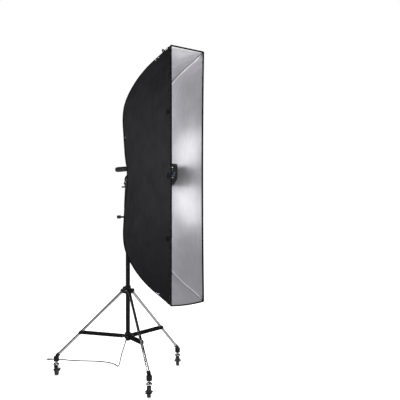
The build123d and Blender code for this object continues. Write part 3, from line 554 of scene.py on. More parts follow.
pin_profile += [(46.2, 2.2), (48.6, 1.3), (49.2, 0.2)]
pin = lathe_shape(plug_start, plug_run, pin_profile, 24)
plug_pin = piece("plug_pin", pin, "stand_column", "steel_pins")

# ---- softbox: seams and panels

binding_low, binding_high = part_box("front_binding")
HALF_WIDTH = binding_high.x
EASE = 4 * MM  # the tensioned cloth stands this much proud of the plain solids at top and bottom
HALF_HEIGHT = (binding_high.z - binding_low.z) / 2 + EASE
AXIS_Z = (binding_high.z + binding_low.z) / 2
FRONT_Y = binding_low.y
BINDING_DEEP = 11 * MM
PANEL_FRONT = FRONT_Y + BINDING_DEEP
HUB_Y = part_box("panel_upper")[1].y
HUB_HOLE = 75.6 * MM
CLOTH = 1.1 * MM
RIGHT_BOW = 11.0 * MM  # the right front edge is drawn in at mid-height
LEFT_BOW = 2.0 * MM
BOTTOM_SAG = 8.0 * MM  # the lower front edge hangs this much at its middle
GORE_SAG = 15.0 * MM  # how far the end panels are drawn in between their rods
SIDE_SAG = 7.0 * MM
STATION_VERTICES = 12  # the panel's mesh has at least this many at each level of its loft


def seam_stations():
    """Half width, Y and height above the axis along the upper seam, read from the CAD panel."""
    places = np.array([vertex.co for vertex in nodes["panel_right"].data.vertices])
    found = []
    for level in np.unique(np.round(places[:, 2], 5)):
        row = places[abs(places[:, 2] - level) < 2e-5]
        height = level - AXIS_Z
        higher = height > 0 and (not found or height > found[-1][2] + MM)
        if len(row) >= STATION_VERTICES and higher:
            back = row[row[:, 1] > row[:, 1].max() - 1e-5]
            found.append((back[:, 0].max(), back[0, 1], height))
    return found


SEAM_COUNT = 97
SWELL_BACK = {1: 8.5 * MM, -1: 7.5 * MM}
SWELL_OUT = 5.0 * MM


def swollen(points, end):
    """The seam with the cloth's swell outside the rod, which fades at the front corner."""
    swell = []
    for x, y, height in points:
        share = (height / HALF_HEIGHT) ** (4 if end > 0 else 2)
        fade = max(0.0, 1 - share)
        room = max(0.0, min(SWELL_OUT, HALF_WIDTH - x))
        back = SWELL_BACK[end] * fade * min(1.0, height / 0.16)
        swell.append((x + room * fade, y + back, height))
    return np.array(swell)


stations = seam_stations()
corner_point = (HALF_WIDTH, PANEL_FRONT, HALF_HEIGHT - 8 * MM)
rod_line = smooth_through(stations[:-1] + [corner_point], SEAM_COUNT)
seams = {end: swollen(rod_line, end) for end in (-1, 1)}
seam_runs = {end: unit_rows(np.gradient(seams[end], axis=0)) for end in (-1, 1)}


def side_bow(height, side):
    """How far a front edge is drawn in at a height above the axis."""
    depth = RIGHT_BOW if side > 0 else LEFT_BOW
    return depth * max(0.0, 1 - (height / HALF_HEIGHT) ** 2)


def end_bow(x, end):
    """How far an end's front edge hangs below the line between its corners: only the lower one."""
    depth = 0.0 if end > 0 else BOTTOM_SAG
    return depth * max(0.0, 1 - (x / HALF_WIDTH) ** 2)


def corner_folds(down, back, phase):
    """Soft tension folds that fan out of a front corner, in metres of displacement."""
    distance = math.hypot(down, back)
    angle = math.atan2(back, max(down, 1e-6))
    fan = math.sin(angle * 13.0 + phase) + 0.45 * math.sin(angle * 29.0 + 2.3 * phase)
    return 1.5 * MM * fan * min(1.0, distance / 0.05) * math.exp(-distance / 0.24)


def drift(a, b, phase):
    """Slow, uneven ripple of stretched cloth."""
    broad = math.sin(9.1 * a + phase) * math.sin(7.3 * b + 1.7 * phase)
    return 0.4 * MM * (broad + 0.5 * math.sin(23.0 * a - 11.0 * b + phase))


SIDE_COLUMNS = 41
STRAIGHT_ROWS = 7
upper_start = seams[1][0]
back_edge = [(x, y, -z) for x, y, z in seams[-1][::-1]]
straight = np.linspace(-upper_start[2], upper_start[2], STRAIGHT_ROWS)[1:-1]
back_edge += [(*upper_start[:2], z) for z in straight]
back_edge += [tuple(point) for point in seams[1]]


def side_grid(side):
    """Side panel: rows up the front edge, columns from the front to the seam."""
    rows = []
    for x, y, height in back_edge:
        front_x = HALF_WIDTH - side_bow(height, side)
        width = y - PANEL_FRONT
        row = []
        for share in np.linspace(0, 1, SIDE_COLUMNS):
            free = 4 * share * (1 - share) * min(1.0, width / 0.12)
            inward = SIDE_SAG * free * min(1.0, width / 0.3)
            down = HALF_HEIGHT - abs(height)
            phase = 0.9 if height > 0 else 2.6
            back = share * width
            inward += free * (corner_folds(down, back, phase + side) + drift(height, back, phase))
            across = front_x + (x - front_x) * share - inward
            row.append((side * across, PANEL_FRONT + back, AXIS_Z + height))
        rows.append(row)
    return np.array(rows)


GORE_COLUMNS = 33
GORE_START_ROWS = 9


def gore_grid(end):
    """End panel: rows from the hub's middle to the front edge, columns across."""
    start = seams[end][0]
    low = [(*start[:2], z) for z in np.linspace(0, start[2], GORE_START_ROWS)[:-1]]
    spine = np.array(low + [tuple(point) for point in seams[end]])
    run = np.gradient(spine, axis=0)
    rows = []
    for index, (half, y, height) in enumerate(spine):
        tangent = np.array([0, run[index][1], run[index][2]])
        tangent /= max(np.linalg.norm(tangent), 1e-9)
        inward = np.array([0, -tangent[2], tangent[1]])
        near_hub = min(1.0, max(0.0, (height - 0.08) / 0.22))
        near_front = min(1.0, (y - PANEL_FRONT) / 0.16)
        row = []
        for share in np.linspace(-1, 1, GORE_COLUMNS):
            crown = 1 - share**2
            from_seam = max(half * (1 - abs(share)), 0)
            sag = GORE_SAG * crown * near_hub * near_front
            sag += crown * corner_folds(from_seam, y - PANEL_FRONT, 1.3 + end) * near_hub
            sag += crown * near_hub * near_front * drift(share * half, y + height, 0.7 + end)
            place = np.array([share * half, y, height]) + inward * sag
            place[2] -= end * end_bow(share * half, end) * (1 - near_front)
            row.append((place[0], place[1], AXIS_Z + end * place[2]))
        rows.append(row)
    return np.array(rows)


def cloth_piece(name, grid, slot, lining, outward, node, hole=False):
    """A panel of cloth, black outside and silver inside."""
    made = piece(name, grid_shape(grid), None, slot, second=lining, tidy=False)
    mesh = made.data
    work = bmesh.new()
    work.from_mesh(mesh)
    if hole:
        reach = {vertex: math.hypot(vertex.co.x, vertex.co.z - AXIS_Z) for vertex in work.verts}
        gone = [face for face in work.faces if all(reach[v] < HUB_HOLE for v in face.verts)]
        bmesh.ops.delete(work, geom=gone, context="FACES")
        for vertex in work.verts:
            distance = math.hypot(vertex.co.x, vertex.co.z - AXIS_Z)
            if distance < HUB_HOLE:
                vertex.co.x *= HUB_HOLE / distance
                vertex.co.z = AXIS_Z + (vertex.co.z - AXIS_Z) * HUB_HOLE / distance
    work.faces.ensure_lookup_table()
    middle = work.faces[len(work.faces) // 2]
    if middle.normal.dot(Vector(outward)) < 0:
        bmesh.ops.reverse_faces(work, faces=work.faces)
    work.to_mesh(mesh)
    work.free()
    thick = made.modifiers.new("cloth", "SOLIDIFY")
    thick.thickness = CLOTH
    thick.offset = -1
    thick.material_offset = 1
    thick.material_offset_rim = 0
    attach(made, "box")
    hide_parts(node)
    return made


side_grids = {side: side_grid(side) for side in (-1, 1)}
gore_grids = {end: gore_grid(end) for end in (-1, 1)}
side_names = {-1: "left", 1: "right"}
end_names = {-1: "lower", 1: "upper"}
corner_names = {}
for side in side_names:
    for end in end_names:
        corner_names[side, end] = f"{side_names[side]}_{end_names[end]}"
for side, label in side_names.items():
    cloth_piece(
        f"side_panel_{label}", side_grids[side], "fabric_side", "silver_lining",
        (side, 0, 0), f"panel_{label}",
    )
# The end panels take the darker silver lining, which paints shade inside them
for end, label in end_names.items():
    cloth_piece(
        f"end_panel_{label}", gore_grids[end], "fabric_end", "silver_end",
        (0, 1, end), f"panel_{label}", hole=True,
    )


def edge_band(grid, rows, column, per_metre, profile, under):
    """A closed strip along a panel's edge: profile has (distance from the edge, lift) in mm.

    The strip runs back from a column, and under is the lift of its hidden face.
    """
    section = profile + [(part, under) for part, _ in profile[::-1]]
    loop = []
    for row in rows:
        line = []
        for part, lift in section:
            point, normal = on_grid(grid, row, column + part * MM * per_metre[row])
            line.append(point + normal * lift * MM)
        loop.append(line)
    return capped(loop)


def outward_sign(grid, outward):
    """Which way a grid's normal points, compared with outward."""
    _, normal = on_grid(grid, grid.shape[0] * 0.5, grid.shape[1] * 0.5)
    return 1.0 if normal @ np.array(outward, float) > 0 else -1.0


# Hems inside the front edge and tape outside along the seams, in mm
HEM = [(0, 1.1), (0.5, 1.9), (5, 2.1), (9, 2.1), (12.5, 1.9), (13, 1.1)]
HEM_UNDER = 0.6
TAPE = [(0, 0.1), (0.6, 1.0), (5, 1.2), (9.4, 1.0), (10, 0.1)]
TAPE_UNDER = -0.3
BAND_ROOM = 0.04  # a side panel narrower than this carries no hem or tape
trims = {"left": [], "right": [], "upper": [], "lower": []}
for side, label in side_names.items():
    grid = side_grids[side]
    sign = outward_sign(grid, (side, 0, 0))
    widths = np.linalg.norm(grid[:, -1] - grid[:, 0], axis=1)
    keep = [row for row in range(len(grid)) if widths[row] > BAND_ROOM]
    per_metre = (SIDE_COLUMNS - 1) / widths
    inside = [(part, -sign * lift) for part, lift in HEM]
    hem = edge_band(grid, keep, 0.0, per_metre, inside, -sign * HEM_UNDER)
    outside = [(part, sign * lift) for part, lift in TAPE]
    tape = edge_band(grid, keep, SIDE_COLUMNS - 1, -per_metre, outside, sign * TAPE_UNDER)
    trims[label] += [
        piece(f"hem_{label}", hem, "box", "fabric_side", "silver_lining"),
        piece(f"seam_tape_{label}", tape, "box", "binding_fabric"),
    ]

# Piping outside and rod sleeves inside, along each of the four seams
ROD_INSET = 9 * MM
SLEEVE_R = 5.2 * MM
SLEEVE_ARC = 105  # degrees each way that the sleeve wraps round its rod
SLEEVE_NECK = ((0.35, 2.6 * MM), (0.12, 1.6 * MM))  # share of the way to the rod, half thickness
SLEEVE_START = 12  # rows of the seam that the hub covers
PIPING_R = 2.2 * MM
PIPING_OUT = 1.0 * MM
for (side, end), label in corner_names.items():
    run = seam_runs[end]
    corner = np.array([(side * x, y, AXIS_Z + end * z) for x, y, z in seams[end]])
    cad_corner = np.array([(side * x, y, AXIS_Z + end * z) for x, y, z in rod_line])
    tangents = run * np.array([side, 1, end])
    inward = unit_rows(np.stack([np.zeros(SEAM_COUNT), -run[:, 2], end * run[:, 1]], 1))
    out = unit_rows(np.array([side, 0, 0]) - inward)
    piping_path = (corner + out * PIPING_OUT)[2:-1]
    piping = tube_shape(piping_path, PIPING_R, 10)
    trims[side_names[side]].append(piece(f"piping_{label}", piping, "box", "binding_fabric"))
    rod = cad_corner + inward * ROD_INSET + np.array([-side * ROD_INSET, 0, 0])
    reach = unit_rows(rod - corner)
    aside = np.cross(tangents, reach)
    section = []
    for turn in np.linspace(-SLEEVE_ARC, SLEEVE_ARC, 13):
        t = math.radians(turn)
        section.append(rod + SLEEVE_R * (math.cos(t) * reach + math.sin(t) * aside))
    for place, half in SLEEVE_NECK:
        section.append(corner + (rod - corner) * place + aside * half)
    for place, half in SLEEVE_NECK[::-1]:
        section.append(corner + (rod - corner) * place - aside * half)
    sleeve = capped(np.stack(section, 1)[SLEEVE_START:-2])
    seam_line = (corner + (rod - corner) * 0.4 + aside * 2.5 * MM)[SLEEVE_START:-2]
    sewing = merged(*stitch_shapes(seam_line, aside[SLEEVE_START:-2], 6, 4, 0.4, 0.2))
    trims[end_names[end]] += [
        piece(f"rod_sleeve_{label}", sleeve, "box", "fabric_end", "silver_tape"),
        piece(f"sleeve_stitches_{label}", sewing, "box", "fabric_end", "thread_grey"),
    ]


# ---- softbox: binding, patches, trim

CORNER_R = 9 * MM
BINDING_WIDE = 9 * MM


def front_loop(inset):
    """Rounded loop round the opening at an inset from its outer edge, with the bowed edges."""
    half_x = HALF_WIDTH - inset
    half_z = HALF_HEIGHT - inset
    bend = CORNER_R - min(inset, CORNER_R - 2 * MM)
    loop = []
    for quarter, (sx, sz) in enumerate(((1, 1), (-1, 1), (-1, -1), (1, -1))):
        start = quarter * math.pi / 2
        for turn in np.linspace(start, start + math.pi / 2, 7):
            across = sx * (half_x - bend) + bend * math.cos(turn)
            loop.append((across, sz * (half_z - bend) + bend * math.sin(turn)))
        next_x, next_z = ((-1, 1), (-1, -1), (1, -1), (1, 1))[quarter]
        if sx == next_x:
            for share in np.linspace(0, 1, 72)[1:-1]:
                loop.append((sx * half_x, (sz + (next_z - sz) * share) * (half_z - bend)))
        else:
            for share in np.linspace(0, 1, 18)[1:-1]:
                loop.append(((sx + (next_x - sx) * share) * (half_x - bend), sz * half_z))
    bowed = []
    for x, z in loop:
        side = 1 if x > 0 else -1
        end = 1 if z > 0 else -1
        near_side = max(0.0, (abs(x) - 0.6 * HALF_WIDTH) / (0.4 * HALF_WIDTH))
        near_end = max(0.0, (abs(z) - 0.9 * HALF_HEIGHT) / (0.1 * HALF_HEIGHT))
        bowed.append((x - side * side_bow(z, side) * near_side, z - end_bow(x, end) * near_end))
    return np.array(bowed)


middle_loop = front_loop(BINDING_WIDE / 2)


def loop_shape(centre, section):
    """A closed strip round the opening; section gives (outward, Y) pairs from the centre line."""
    ahead = np.roll(centre, -1, 0) - np.roll(centre, 1, 0)
    ahead /= np.linalg.norm(ahead, axis=1)[:, None]
    outward = np.stack([ahead[:, 1], -ahead[:, 0]], 1)
    rows = []
    for (x, z), (ox, oz) in zip(centre, outward):
        rows.append([(x + ox * out, y, AXIS_Z + z + oz * out) for out, y in section])
    rows.append(rows[0])
    return grid_shape(rows, around=True)


def soft_power(value, power):
    """A power of a value that keeps the value's sign: below 1 it squares off a round outline."""
    return math.copysign(abs(value) ** power, value)


section = []
for turn in full_turn(24):
    out = soft_power(math.cos(turn), 0.55) * BINDING_WIDE / 2
    deep = soft_power(math.sin(turn), 0.55) * BINDING_DEEP / 2
    section.append((out, FRONT_Y + BINDING_DEEP / 2 + deep))
binding_shape = loop_shape(middle_loop, section)
binding = piece("front_binding_tape", binding_shape, None, "binding_fabric")
SEAM_GAP = 0.01 * MM
edit_mesh(
    binding.data,
    lambda work: bmesh.ops.remove_doubles(work, verts=work.verts, dist=SEAM_GAP),
)
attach(binding, "box")
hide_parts("front_binding")

closed_loop = np.vstack([middle_loop, middle_loop[:1]])
stitch_path = np.array([(x, FRONT_Y + 0.15 * MM, AXIS_Z + z) for x, z in closed_loop])
stitch_up = np.tile(np.array([0.0, -1.0, 0.0]), (len(stitch_path), 1))
stitching = merged(*stitch_shapes(stitch_path, stitch_up, 6, 4, 0.45, 0.25))
binding_stitches = piece("binding_stitches", stitching, "box", "binding_fabric", "thread_black")

# Pocket over each rod's tip at the corners
POCKET_R = 5 * MM
POCKET_LONG = 8 * MM  # half its depth
POCKET_INSET = (8 * MM, 8.5 * MM, 7 * MM)  # its middle, in from the box's corner
for (side, end), label in corner_names.items():
    middle_x = side * (HALF_WIDTH - POCKET_INSET[0])
    middle_z = AXIS_Z + end * (HALF_HEIGHT - POCKET_INSET[2])
    rings = []
    for latitude in np.radians(np.linspace(-86, 86, 15)):
        y = FRONT_Y + POCKET_INSET[1] + soft_power(math.sin(latitude), 0.8) * POCKET_LONG
        ring = []
        for longitude in full_turn(28):
            x = soft_power(math.cos(latitude) * math.cos(longitude), 0.8) * POCKET_R
            z = soft_power(math.cos(latitude) * math.sin(longitude), 0.8) * POCKET_R
            ring.append((middle_x + x, y, middle_z + z))
        rings.append(ring)
    pocket = piece(f"corner_pocket_{label}", capped(rings), "box", "binding_fabric")
    trims[side_names[side]].append(pocket)

# Square fastening patches outside, next to the front edge
PATCH_DEEP = 40 * MM
PATCH_HIGH = 38 * MM
PATCH_HEIGHTS = (-0.428, 0.0, 0.428)
PATCH_INSET = 2 * MM
PATCH_STEPS = 13
EYELET_HEIGHT = 0.285
EYELET_COLUMN = 1 - 16 * MM / 0.49  # share of the side panel's width there
EYELET = [(-1.6, 2.0), (1.2, 2.0), (1.7, 2.6), (1.7, 3.6), (1.1, 4.6), (0.3, 5.0)]
EYELET += [(-1.6, 5.0), (-1.9, 4.0)]


def patch_grid(grid, sign, centre_row, first_column, row_span, column_span, thick):
    """A padded square on a panel. Its rows and columns are fractions of the panel's grid."""
    top = []
    for i in np.linspace(-1, 1, PATCH_STEPS):
        line = []
        for j in np.linspace(-1, 1, PATCH_STEPS):
            lift = thick if max(abs(i), abs(j)) < 0.99 else -0.2 * MM
            row = centre_row + soft_power(i, 0.9) * row_span / 2
            column = first_column + (1 + soft_power(j, 0.9)) * column_span / 2
            point, normal = on_grid(grid, row, column)
            line.append(point + normal * sign * lift)
        top.append(line)
    return np.array(top)


for side, label in side_names.items():
    grid = side_grids[side]
    sign = outward_sign(grid, (side, 0, 0))
    heights = grid[:, 0, 2] - AXIS_Z

    def row_at(height):
        return float(np.interp(height, heights, np.arange(len(heights))))

    shapes, sewn = [], []
    for height in PATCH_HEIGHTS:
        row = row_at(height)
        row_span = row_at(height + PATCH_HIGH / 2) - row_at(height - PATCH_HIGH / 2)
        width = np.linalg.norm(grid[int(row), -1] - grid[int(row), 0])
        span = PATCH_DEEP / width * (SIDE_COLUMNS - 1)
        first = PATCH_INSET / width * (SIDE_COLUMNS - 1)
        top = patch_grid(grid, sign, row, first, row_span, span, 1.7 * MM)
        base = patch_grid(grid, sign, row, first, row_span, span, -0.2 * MM)
        shapes += [grid_shape(top), grid_shape(base)]
        rim = [top[1, j] for j in range(1, 12)] + [top[i, 11] for i in range(2, 12)]
        rim += [top[11, j] for j in range(10, 0, -1)] + [top[i, 1] for i in range(10, 0, -1)]
        normal = on_grid(grid, row, first + span / 2)[1] * sign
        sewn += stitch_shapes(rim, np.tile(normal, (len(rim), 1)), 4.5, 3, 0.4, 0.3)
    point, normal = on_grid(grid, row_at(EYELET_HEIGHT), EYELET_COLUMN * (SIDE_COLUMNS - 1))
    eyelet = lathe_shape(point, normal * sign, EYELET, 24)
    trims[label] += [
        piece(f"patches_{label}", merged(*shapes), "box", "binding_fabric"),
        piece(f"patch_stitches_{label}", merged(*sewn), "box", "binding_fabric", "thread_black"),
        piece(f"eyelet_{label}", eyelet, "box", "steel_pins", "dull_steel"),
    ]

# Webbing loop on the upper left seam
LOOP_BACK = 57 * MM
LOOP_HIGH = 20 * MM
LOOP_HALF = 6.5 * MM
WEBBING = ((-5.5, 1.1), (-6, 0), (-5.5, -1.1), (0, -1.2), (5.5, -1.1), (6, 0), (5.5, 1.1), (0, 1.2))
loop_at = int(np.argmin(abs(seams[1][:, 1] - (PANEL_FRONT + LOOP_BACK))))
base = seams[1][loop_at] * np.array([-1, 1, 1]) + np.array([0, 0, AXIS_Z])
run = seam_runs[1][loop_at] * np.array([0, 1, 1])
run /= np.linalg.norm(run)
up = np.array([0, run[2], -run[1]])
up = up if up[2] > 0 else -up
loop_rows = []
for t in np.linspace(-0.12, 1.12, 24) * math.pi:
    bulge = LOOP_HALF * math.cos(t) * (1 + 0.35 * math.sin(t))
    spine = base + run * bulge + up * LOOP_HIGH * max(math.sin(t), -0.2)
    radial = run * math.cos(t) + up * math.sin(t)
    radial /= np.linalg.norm(radial)
    loop_rows.append([spine + RIGHT * a * MM + radial * b * MM for a, b in WEBBING])
tag_loop = piece("tag_loop", capped(loop_rows), "box", "binding_fabric")
trims["left"].append(tag_loop)

# Elastic cuff where the end panels meet the hub
CUFF_R = 78.6 * MM
cuff_rows = []
for turn in np.linspace(0, 2 * math.pi, 73):
    row = []
    for part in full_turn(10):
        radius = CUFF_R + 3.0 * MM * math.cos(part)
        y = HUB_Y - 0.4 * MM + 2.2 * MM * math.sin(part)
        row.append((radius * math.cos(turn), y, AXIS_Z + radius * math.sin(turn)))
    cuff_rows.append(row)
cuff = piece("hub_cuff", grid_shape(cuff_rows, around=True), "box", "binding_fabric")
trims["upper"].append(cuff)

# ---- small details on the hard parts


def rounded_outline(half_wide, half_high, corner, steps=5):
    """Corner by corner round a rectangle with rounded corners."""
    points = []
    for quarter, (sx, sz) in enumerate(((1, 1), (-1, 1), (-1, -1), (1, -1))):
        for turn in np.linspace(quarter * math.pi / 2, (quarter + 1) * math.pi / 2, steps):
            across = sx * (half_wide - corner) + corner * math.cos(turn)
            points.append((across, sz * (half_high - corner) + corner * math.sin(turn)))
    return points


def plate_shape(centre, right, up, half_wide, half_high, thick, corner):
    """A raised plate with rounded corners and a bevelled rim, facing right x up. Sizes in mm."""
    out = np.cross(right, up)
    bevel = min(0.35 * thick, 0.5 * corner)
    rows = []
    for lift, inset in ((-0.3, 0.0), (thick - bevel, 0.0), (thick, bevel)):
        outline = rounded_outline(half_wide - inset, half_high - inset, corner - inset)
        rows.append([np.array(centre) + (right * a + up * b + out * lift) * MM for a, b in outline])
    return capped(rows)


def ring_shape(centre, axis, radius, thick, sides=64, section=8):
    """A closed ring of round wire."""
    axis, side, other = axes_round(axis)
    points, faces, uvs = [], [], []
    for i, turn in enumerate(full_turn(sides)):
        spoke = side * math.cos(turn) + other * math.sin(turn)
        for j, part in enumerate(full_turn(section)):
            out = spoke * (radius + thick * math.cos(part))
            points.append(tuple(np.array(centre) + out + axis * thick * math.sin(part)))
            uvs.append((radius * turn, thick * part))
            after_i = (i + 1) % sides * section
            after_j = (j + 1) % section
            faces.append((i * section + j, after_i + j, after_i + after_j, i * section + after_j))
    return points, faces, uvs


def screw_shape(centre, axis, radius, height):
    """Button-head screw with a socket, in mm."""
    profile = [(-0.5, radius), (0.35 * height, radius), (0.8 * height, 0.86 * radius)]
    profile += [(height, 0.62 * radius), (height, 0.42 * radius), (0.3 * height, 0.38 * radius)]
    return lathe_shape(centre, axis, profile, 24)


def steel_screws(name, spots, axis, radius, height, body, look="dull_steel"):
    """A piece of like screws."""
    screws = [screw_shape(spot, axis, radius, height) for spot in spots]
    return piece(name, merged(*screws), body, "steel_pins", look)


joints = {joint["name"]: joint for joint in frame["joints"]}


def joint_line(name):
    """A hinge's place and axis."""
    return np.array(joints[name]["pos_m"]), np.array(joints[name]["axis"], float)


def reach_along(node, origin, axis):
    """How far a node's mesh goes from an origin along an axis."""
    return max(float((np.array(vertex.co) - origin) @ axis) for vertex in nodes[node].data.vertices)


# Rear panel of the flash head, which faces out of the box. Places in mm from the box's axis.
face_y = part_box("head_rear_panel")[0].y
dial_low, dial_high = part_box("head_dial")
dial_z = (dial_low.z + dial_high.z) / 2
dial_r = (dial_high.z - dial_low.z) / 2


def head_place(x, z):
    return np.array([x * MM, face_y, AXIS_Z + z * MM])


def head_plate(x, z, *sizes):
    """A plate on the head's rear panel."""
    return plate_shape(head_place(x, z), RIGHT, UP, *sizes)


window = head_plate(-24, 66, 22, 9, 0.8, 2)
piece("display_window", window, "box", "moulded_black", "display_window")
label_bars = [head_plate(17, 66, 11, 2.2, 0.3, 0.5)]
label_bars += [head_plate(24 * side, -7, 5, 1.3, 0.3, 0.5) for side in (-1, 1)]
for t in np.radians(np.linspace(-135, 135, 11)):
    outward = RIGHT * math.sin(t) + UP * math.cos(t)
    middle = np.array([0, face_y, dial_z]) + outward * (dial_r + 7 * MM)
    label_bars.append(plate_shape(middle, np.cross(outward, BACK), outward, 0.6, 2.4, 0.25, 0.3))
piece("panel_labels", merged(*label_bars), "box", "moulded_black", "white_mark")
button_places = [(x * side, z) for side in (-1, 1) for x, z in ((42, 29), (37, 12))]
buttons = [head_plate(x, z, 4.6, 3.4, 1.8, 1.6) for x, z in button_places]
piece("panel_buttons", merged(*buttons), "box", "moulded_black", "blue_mark")
screw_places = [head_place(x, z) for x, z in ((-62, 81), (62, 81), (-50, -38), (50, -38))]
steel_screws("panel_screws", screw_places, -BACK, 3.2, 1.6, "box")

dial_face = np.array([0, dial_low.y, dial_z])
pointer_place = dial_face + UP * 0.62 * dial_r
pointer = plate_shape(pointer_place, RIGHT, UP, 1.1, 0.26 * dial_r / MM, 0.4, 0.5)
piece("dial_pointer", pointer, "dial", "moulded_black", "white_mark")
dial_ribs = []
for turn in full_turn(28):
    rim = dial_face + (RIGHT * math.cos(turn) + UP * math.sin(turn)) * dial_r
    dial_ribs.append(tube_shape([rim + BACK * 2.5 * MM, rim + BACK * 10 * MM], 0.7 * MM, 8))
piece("dial_ribs", merged(*dial_ribs), "dial", "moulded_black")

# Cooling slats on the head's sides and top
head_low, head_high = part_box("head_housing")
slats = []
for y in np.linspace(head_low.y + 40 * MM, head_low.y + 130 * MM, 10):
    for side in (-1, 1):
        middle = (side * head_high.x, y, AXIS_Z + 45 * MM)
        slats.append(plate_shape(middle, BACK * side, UP, 2.2, 24, 1.6, 1.5))
    slats.append(plate_shape((0, y, head_high.z), RIGHT, BACK, 36, 2.2, 1.6, 1.5))
piece("head_slats", merged(*slats), "box", "head_shell")

# Tilt joint: raised rims, an angle scale and screws on both cheeks
tilt_place, _ = joint_line("head_tilt")
cheek_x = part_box("tilt_casting")[1].x
for side, label in side_names.items():
    facing = RIGHT * side
    middle = tilt_place + facing * cheek_x
    rims = [ring_shape(middle, RIGHT, 33 * MM, 1.1 * MM)]
    rims.append(ring_shape(middle, RIGHT, 14 * MM, 0.9 * MM))
    piece(f"cheek_rims_{label}", merged(*rims), "tilt", "bracket_cast")
    ticks = []
    for t in np.radians(np.linspace(-80, 80, 17)):
        outward = -UP * math.cos(t) + BACK * math.sin(t)
        across = np.cross(outward, facing)
        ticks.append(plate_shape(middle + outward * 28 * MM, across, outward, 0.4, 1.8, 0.2, 0.3))
    piece(f"cheek_scale_{label}", merged(*ticks), "tilt", "bracket_cast", "thread_grey")
    spots = []
    for t in np.radians((90, 210, 330)):
        spots.append(middle + (UP * math.sin(t) + BACK * math.cos(t)) * 21 * MM)
    steel_screws(f"cheek_screws_{label}", spots, facing, 2.6, 1.8, "tilt")

# Handle grip: long ribs and a round end cap
grip_place, grip_axis = joint_line("handle_twist")
grip_end = reach_along("handle_grip", grip_place, grip_axis)
grip_r = max(abs(vertex.co.x) for vertex in nodes["handle_grip"].data.vertices)
grip_up = np.cross(RIGHT, grip_axis)
ribs = []
for turn in full_turn(18):
    spoke = (RIGHT * math.cos(turn) + grip_up * math.sin(turn)) * (grip_r - 0.5 * MM)
    spots = [grip_place + spoke + grip_axis * (grip_end - along * MM) for along in (84, 81, 24, 21)]
    ribs.append(tube_shape(spots, [0.4 * MM, 1.3 * MM, 1.3 * MM, 0.4 * MM], 8))
for along, radius in ((90 * MM, grip_r), (16 * MM, grip_r - 0.2 * MM)):
    middle = grip_place + grip_axis * (grip_end - along)
    ribs.append(ring_shape(middle, grip_axis, radius, 0.9 * MM))
cap_profile = [(-0.5, 7.5), (0.4, 7.5), (0.9, 7.0), (0.9, 5.2), (0.4, 4.8)]
ribs.append(lathe_shape(grip_place + grip_axis * grip_end, grip_axis, cap_profile, 32))
piece("grip_ribs", merged(*ribs), "handle", "moulded_black")

# Clamping knobs: a domed badge on the end and a washer under the head, in mm
for node, joint_name, body, badge_r, washer_r, washer_at in (
    ("column_knob", "column_knob_turn", "column_knob_body", 7.5, 11, 27.8),
    ("leg_collar_knob", "leg_knob_turn", "leg_knob_body", 5.2, 7, 24.2),
):
    knob_place, knob_axis = joint_line(joint_name)
    knob_top = knob_place + knob_axis * reach_along(node, knob_place, knob_axis)
    badge_profile = [(-0.5, badge_r), (0.5, badge_r), (1.2, 0.8 * badge_r), (1.6, 0.4 * badge_r)]
    badge = lathe_shape(knob_top, knob_axis, badge_profile, 28)
    piece(f"{node}_badge", badge, body, "moulded_black")
    washer_foot = knob_place * UP + knob_axis * washer_at * MM
    washer_profile = [(0, washer_r * 0.8), (0, washer_r), (0.4, washer_r), (0.4, washer_r * 0.8)]
    washer = lathe_shape(washer_foot, knob_axis, washer_profile, 28)
    piece(f"{node}_washer", washer, body, "steel_pins", "dull_steel")

# Screw heads on the collars: angle round the column, height, distance out and body
COLUMN_COLLAR_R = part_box("column_collar")[1].x
LEG_COLLAR_R = 26 * MM  # its round part, inside the lugs
for name, angle, height, out, body in (
    ("collar_screw_upper", 173, 1.217, COLUMN_COLLAR_R, "stand_column"),
    ("collar_screw_back", 353, 1.217, COLUMN_COLLAR_R, "stand_column"),
    ("leg_collar_screw", 199, 0.655, LEG_COLLAR_R, "leg_slider"),
    ("leg_collar_screw_back", 25, 0.655, LEG_COLLAR_R, "leg_slider"),
):
    t = math.radians(angle)
    outward = np.array([math.cos(t), math.sin(t), 0.0])
    steel_screws(name, [outward * out + UP * height], outward, 3.3, 2.2, body, "bright_steel")

# Casters: tread rings, axle nuts, a bearing ring under the foot and a rim on the dome
NUT = [(-0.4, 5.4), (0.4, 6.2), (2.6, 6.2), (3.2, 5.4), (3.2, 3.6), (4.2, 2.8), (4.4, 1.2)]
for number in (1, 2, 3):
    wheel_place, axle = joint_line(f"wheel_spin_{number}")
    tread_r = wheel_place[2] - 0.55 * MM
    tread = []
    for offset in (-3.6, 0.0, 3.6):
        tread.append(ring_shape(wheel_place + axle * offset * MM, axle, tread_r, 0.6 * MM, 72, 6))
    piece(f"tread_{number}", merged(*tread), f"wheel_{number}", "tyre_rubber")
    nuts = []
    for way in (-1, 1):
        axle_end = reach_along(f"caster_fork_{number}", wheel_place, axle * way)
        nut_place = wheel_place + axle * way * (axle_end - 0.4 * MM)
        nuts.append(lathe_shape(nut_place, axle * way, NUT, 6))
    piece(f"axle_nuts_{number}", merged(*nuts), f"caster_{number}", "steel_pins", "dull_steel")
    stem = joint_line(f"caster_swivel_{number}")[0] * (RIGHT + BACK)
    rims = []
    for height, radius, thick in ((84.6, 22.3, 1.0), (99, 8.6, 1.4)):
        rims.append(ring_shape(stem + UP * height * MM, UP, radius * MM, thick * MM))
    piece(f"swivel_rims_{number}", merged(*rims), f"caster_{number}", "steel_pins", "dull_steel")

# ---- the front binding and its stitches join the left panel's list of trims

trims["left"] += [binding, binding_stitches]

# ---- floor, light, world

